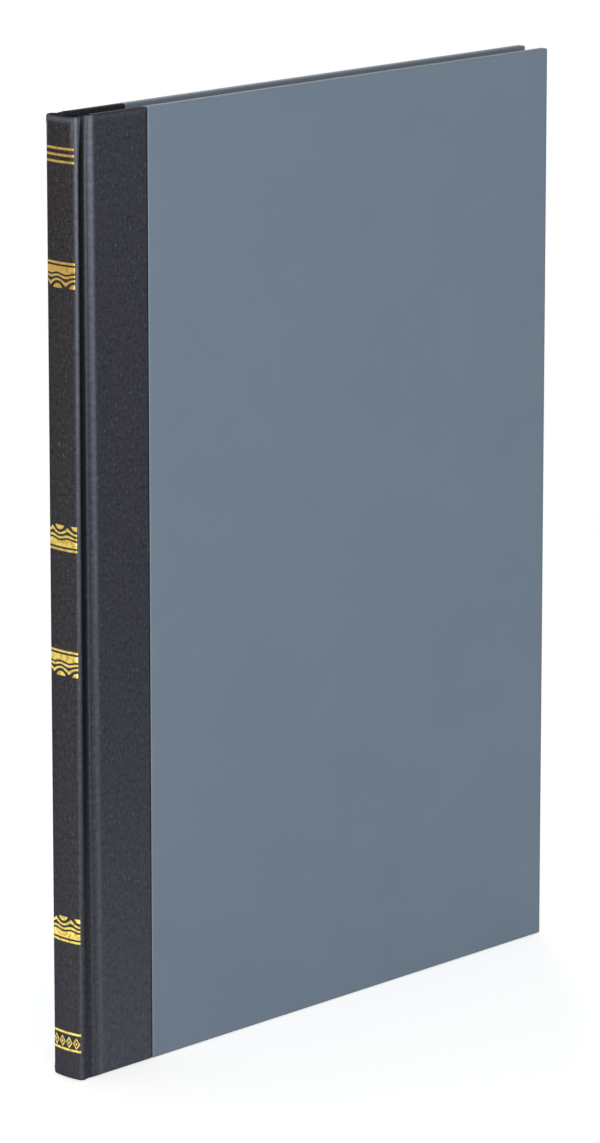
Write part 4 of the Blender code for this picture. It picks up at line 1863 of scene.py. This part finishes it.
@dataclass
class GiltWork:
    """The gilt rules and bands stamped across the spine, as thin foil on the cloth.

    Heights are from the tail to the top of a rule or band. Sizes down a band are from its plain
    rule towards its arches.
    """

    sizes: CaseSizes
    finishes: Finishes
    reach: float = 5.08
    stands: float = 0.03
    sunk: float = 0.05
    worn_edge: float = 0.14
    worn_share: float = 0.3
    edge_wear: float = 0.8
    rule_height: float = 0.72
    head_rules: tuple[float, ...] = (250.0, 248.3, 246.55)
    tail_rules: tuple[float, ...] = (12.8, 8.22)
    bands: tuple[tuple[float, Facing], ...] = (
        (220.1, Facing.TAIL),
        (150.45, Facing.HEAD),
        (116.9, Facing.TAIL),
        (44.4, Facing.HEAD),
    )
    band_height: float = 6.95
    wave: float = 5.7
    crest: float = 0.6
    strips: tuple[BandStrip, ...] = (
        BandStrip((0.0, 0.7), (0.0, 0.7)),
        BandStrip((1.15, 2.78), (1.15, 3.26)),
        BandStrip((3.22, 3.86), (3.68, 4.44)),
        BandStrip((4.38, 4.99), (5.38, 6.46), pointed=True),
    )
    disc_half: float = 1.62
    disc_height: float = 1.26
    disc_rim: float = 0.03
    lozenges: int = 4
    lozenge_pitch: float = 2.5
    lozenge_wide: float = 1.16
    lozenge_high: float = 1.6
    lozenge_tip: float = 0.03
    lozenge_line: float = 0.64
    lozenge_split: float = 0.01
    lozenge_heart: float = 0.34
    lozenge_middle: float = 9.9
    rule_steps: int = 49
    band_steps: int = 161
    small_steps: int = 41

    def ribbon(self, across: np.ndarray, low: Values, high: Values) -> Sheet:
        """A strip of foil laid round the spine between two lines, worn along both.

        Across the shallow arc the sine of the lean is the distance from the middle over the arc's
        radius, and on the shoulder it follows from the depth below the cover's face. The foil
        stands off along that lean.

        Args:
            across: Places from the front towards the back, measured from the spine's middle.
            low: Height of the strip's lower line, at each place or all along.
            high: Height of its upper line.

        Returns:
            The sheet.
        """
        sizes = self.sizes
        size = np.abs(across)
        on_arc = size <= sizes.spine_radius * math.sin(sizes.spine_lean)
        past = np.clip(1.0 - (sizes.half_depth - size) / sizes.shoulder_radius, -1.0, 1.0)
        lean = np.arcsin(np.where(on_arc, size / sizes.spine_radius, past))
        arc = sizes.spine_radius * (1.0 - np.cos(lean))
        shoulder = sizes.shoulder_end - sizes.shoulder_radius * np.cos(lean)
        along = np.where(on_arc, arc, shoulder)
        edge = np.minimum(self.worn_edge, self.worn_share * (high - low))
        up = stacked(low, low + edge, 0.5 * (low + high), high - edge, high)
        faces = []
        for inward in (-self.stands, self.sunk):
            x = sizes.spine_x + along + inward * np.cos(lean)
            y = across - inward * np.sign(across) * np.sin(lean)
            faces.append(stacked(x[:, None], y[:, None], up))
        wear = self.edge_wear * np.array([1.0, 0.0, 0.0, 0.0, 1.0])
        return Sheet(*faces, stacked(across[:, None], up), hollow=wear)

    def stations(self, middle: float, half: float, count: int) -> np.ndarray:
        """Places across the spine on both sides of a middle, held to the foil's reach."""
        return np.linspace(max(middle - half, -self.reach), min(middle + half, self.reach), count)

    def rule(self, top: float) -> Sheet:
        """A plain rule across the spine, a rule's height down from its top."""
        across = self.stations(0.0, self.reach, self.rule_steps)
        return self.ribbon(across, top - self.rule_height, top)

    def band_lines(self) -> list[tuple[np.ndarray, np.ndarray, Values]]:
        """The lines of one band: where it lies across, and how far down it starts and ends.

        Each strip goes from its cusp's place to its crest's by a share that follows a cosine of
        the wave's length, or for a pointed strip the absolute cosine of half of it. A half disc,
        as high as the root of one less the squared share of its half width, sits under each arch.

        Returns:
            Place across, start and end of each strip.
        """
        across = self.stations(0.0, self.reach, self.band_steps)
        phase = (across - self.crest) / self.wave
        waved = 0.5 + 0.5 * np.cos(2.0 * math.pi * phase)
        arched = np.abs(np.cos(math.pi * phase))
        lines = []
        for strip in self.strips:
            share = arched if strip.pointed else waved
            start, end = (low + (high - low) * share for low, high in zip(strip.cusp, strip.crest))
            lines.append((across, start, end))
        for number in (-1, 0, 1):
            middle = self.crest + number * self.wave
            if abs(middle) - self.disc_half < self.reach:
                place = self.stations(middle, self.disc_half, self.small_steps)
                share = np.clip((place - middle) / (self.disc_half + self.disc_rim), -1.0, 1.0)
                disc = self.disc_height * np.sqrt(1.0 - share**2)
                lines.append((place, self.band_height - disc, self.band_height))
        return lines

    def band(self, top: float, facing: Facing) -> list[Sheet]:
        """All strips of one band.

        Args:
            top: Height of its upper rim.
            facing: Which way its arches open.

        Returns:
            The sheets.
        """
        sheets = []
        for across, start, end in self.band_lines():
            if facing is Facing.TAIL:
                sheets.append(self.ribbon(across, top - end, top - start))
            else:
                bottom = top - self.band_height
                sheets.append(self.ribbon(across, bottom + start, bottom + end))
        return sheets

    def lozenge_row(self) -> list[Sheet]:
        """A row of lozenges between the tail's rules, each an outline round a small solid heart.

        A lozenge's half height falls in a straight line from its middle to its ends. The outline
        is the part of that height past what is left when the line's width is taken off, and a
        hairline parts its upper and lower halves at the ends.

        Returns:
            The sheets.
        """
        sheets = []
        centre = self.lozenge_middle
        for number in range(self.lozenges):
            middle = (number - 0.5 * (self.lozenges - 1)) * self.lozenge_pitch
            across = self.stations(middle, self.lozenge_wide, self.small_steps)
            fall = np.abs(across - middle) / self.lozenge_wide
            half = self.lozenge_high * (1.0 + self.lozenge_tip - fall)
            inner = np.maximum(half - self.lozenge_line, self.lozenge_split)
            sheets.append(self.ribbon(across, centre + inner, centre + half))
            sheets.append(self.ribbon(across, centre - half, centre - inner))
            near = middle + self.lozenge_heart * (across - middle)
            heart = self.lozenge_heart * half
            sheets.append(self.ribbon(near, centre - heart, centre + heart))
        return sheets

    def stamp(self, name: str, sheets: list[Sheet]) -> None:
        """Puts strips on the spine as one piece."""
        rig.ride(make_piece(name, sheets, self.finishes.foil, "bookcloth"), SPINE_BODY)

    def build(self) -> None:
        """Stamps the head's rules, the four bands, and the tail's rules with their lozenges."""
        self.stamp("gilt_head_rules", [self.rule(top) for top in self.head_rules])
        for number, (top, facing) in enumerate(self.bands, start=1):
            self.stamp(f"gilt_band_{number}", self.band(top, facing))
        self.stamp("gilt_tail_rules", [*map(self.rule, self.tail_rules), *self.lozenge_row()])


@dataclass(frozen=True)
class Lamp:
    """A soft square lamp that looks at the book's middle, with angles in degrees and sizes in metres."""

    name: str
    azimuth: float
    elevation: float
    distance: float
    size: float
    power: float


@dataclass
class Studio:
    """The floor, the light and the camera, in metres and degrees."""

    ambient: float = 0.42
    floor_half: float = 6.0
    floor_drop: float = 0.0001
    floor_points: int = 5
    floor_colour: Colour = (238, 238, 237)
    floor_lift: float = 0.46
    white_from: Range = (0.11, 0.38)
    aim: Triple = (0.0, 0.0, 0.13)
    lamps: tuple[Lamp, ...] = (
        Lamp("key", -57.0, 8.0, 1.5, 0.5, 8.6),
        Lamp("fill", -14.0, 12.0, 1.8, 0.9, 4.4),
        Lamp("over", -46.0, 62.0, 1.4, 0.8, 3.6),
        Lamp("rear", 150.0, 20.0, 1.8, 1.0, 12.0),
    )
    camera_place: Triple = (-1.0155, -0.9757, 0.4572)
    camera_azimuth: float = -46.076
    camera_pitch: float = 10.904
    camera_lens: float = 166.43
    camera_sensor: float = 36.0
    camera_shift: float = -0.2

    @staticmethod
    def seen(build: Graph) -> Socket:
        """Tells the rays that see a surface from those that light another one.

        Args:
            build: The graph of a material or of the world.

        Returns:
            One for rays from the camera and for mirrored or refracted ones, nought for the rest.
        """
        path = build.node("ShaderNodeLightPath").outputs
        both = build.maths("MAXIMUM", path["Is Camera Ray"], path["Is Glossy Ray"])
        return build.maths("MAXIMUM", both, path["Is Transmission Ray"])

    def build_world(self) -> None:
        """Makes a plain world: white where it is seen, and the ambient level where it lights."""
        world = bpy.data.worlds.new("studio")
        world.use_nodes = True
        world.node_tree.nodes.clear()
        build = Graph(world.node_tree)
        strength = build.maths("MULTIPLY_ADD", self.seen(build), 1.0 - self.ambient, self.ambient)
        inputs = {"Color": (1.0, 1.0, 1.0, 1.0), "Strength": strength}
        back = build.node("ShaderNodeBackground", inputs)
        build.node("ShaderNodeOutputWorld", {"Surface": back.outputs[0]})
        bpy.context.scene.world = world

    def floor_material(self) -> bpy.types.Material:
        """The floor's finish: pale and matt, lifted where it is seen, and white further off.

        Returns:
            The material.
        """
        material, build = start_material("floor_pale")
        away = build.node("ShaderNodeVectorMath", {0: build.solid_place()}, operation="LENGTH")
        far = build.span(away.outputs["Value"], self.white_from)
        seen = self.seen(build)
        pale = build.node("ShaderNodeBsdfDiffuse", {"Color": linear(self.floor_colour)})
        strength = build.maths("MULTIPLY", seen, self.floor_lift)
        lift = build.node("ShaderNodeEmission", {"Strength": strength})
        near = build.node("ShaderNodeAddShader", {0: pale.outputs[0], 1: lift.outputs[0]})
        white = build.node("ShaderNodeEmission", {"Strength": 1.0})
        share = build.maths("MULTIPLY", far, seen)
        mixed = build.node("ShaderNodeMixShader", {0: share, 1: near.outputs[0], 2: white.outputs[0]})
        build.node("ShaderNodeOutputMaterial", {"Surface": mixed.outputs[0]})
        return material

    def build_floor(self) -> None:
        """Makes a level floor that keeps the book's shadow: a square grid just under the tail."""
        count = self.floor_points
        place = np.linspace(-self.floor_half, self.floor_half, count)
        x, y = np.meshgrid(place, place, indexing="ij")
        points = stacked(x, y, -self.floor_drop).reshape(-1, 3)
        mesh = bpy.data.meshes.new("floor")
        mesh.from_pydata(points, [], grid_quads(np.arange(count**2).reshape(count, count)))
        mesh.materials.append(self.floor_material())
        floor = bpy.data.objects.new("floor", mesh)
        bpy.context.scene.collection.objects.link(floor)
        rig.stage(floor)

    def build_lamps(self) -> None:
        """Hangs the lamps, each turned to the aim from its own azimuth and elevation."""
        for lamp in self.lamps:
            data = bpy.data.lights.new(lamp.name, "AREA")
            data.size = lamp.size
            data.energy = lamp.power
            turn, rise = math.radians(lamp.azimuth), math.radians(lamp.elevation)
            level = math.cos(rise)
            way = np.array([math.sin(turn) * level, -math.cos(turn) * level, math.sin(rise)])
            light = bpy.data.objects.new(lamp.name, data)
            light.location = np.array(self.aim) + lamp.distance * way
            light.rotation_euler = (math.pi / 2 - rise, 0.0, turn)
            bpy.context.scene.collection.objects.link(light)
            LOG.info("lamp %s: %.0f W", lamp.name, lamp.power)

    def build_camera(self) -> None:
        """Sets the camera at the photograph's viewing angle."""
        data = bpy.data.cameras.new("camera")
        data.lens = self.camera_lens
        data.sensor_width = self.camera_sensor
        data.shift_y = self.camera_shift
        camera = bpy.data.objects.new("camera", data)
        camera.location = self.camera_place
        pitch = math.radians(90.0 - self.camera_pitch)
        camera.rotation_euler = (pitch, 0.0, math.radians(self.camera_azimuth))
        bpy.context.scene.collection.objects.link(camera)
        bpy.context.scene.camera = camera

    def build(self) -> None:
        """Makes the whole studio."""
        self.build_world()
        self.build_floor()
        self.build_lamps()
        self.build_camera()
        bpy.context.scene.view_settings.view_transform = "Standard"


def write_sizes() -> None:
    """Writes the solids' box and the dressed book's box, so that the two can be compared."""
    boxes = {"cad": CAD_BOX, "visual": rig.bounds()}
    SIZE_FILE.write_text(json.dumps({key: [list(corner) for corner in box] for key, box in boxes.items()}))


def main() -> None:
    """Builds the ledger's pieces in order, dresses the solids that stay, and sets the scene."""
    logging.basicConfig(level=logging.INFO, format="%(name)s: %(message)s")
    sizes = CaseSizes.from_frame()
    finishes = Finishes()

    groove = JointGroove(sizes)
    cloth = ClothSkin(sizes, finishes, groove, ClothWear(sizes, groove))
    paper = CoverPaper(sizes, finishes)
    cloth.build_spine()
    for side in Side:
        cloth.build_side(side)
        paper.build_siding(side)
        paper.build_pastedown(side)
        dress([f"{side.label}_board"], finishes.board)
        dress([f"{side.label}_mull_flange"], finishes.gauze)
    GiltWork(sizes, finishes).build()
    TextBlock(sizes, finishes).build()
    dress(["spine_card"], finishes.board)
    dress(["spine_lining"], finishes.lining)
    dress(["mull_spine"], finishes.gauze)
    Studio().build()
    write_sizes()


if __name__ == "__main__":
    main()
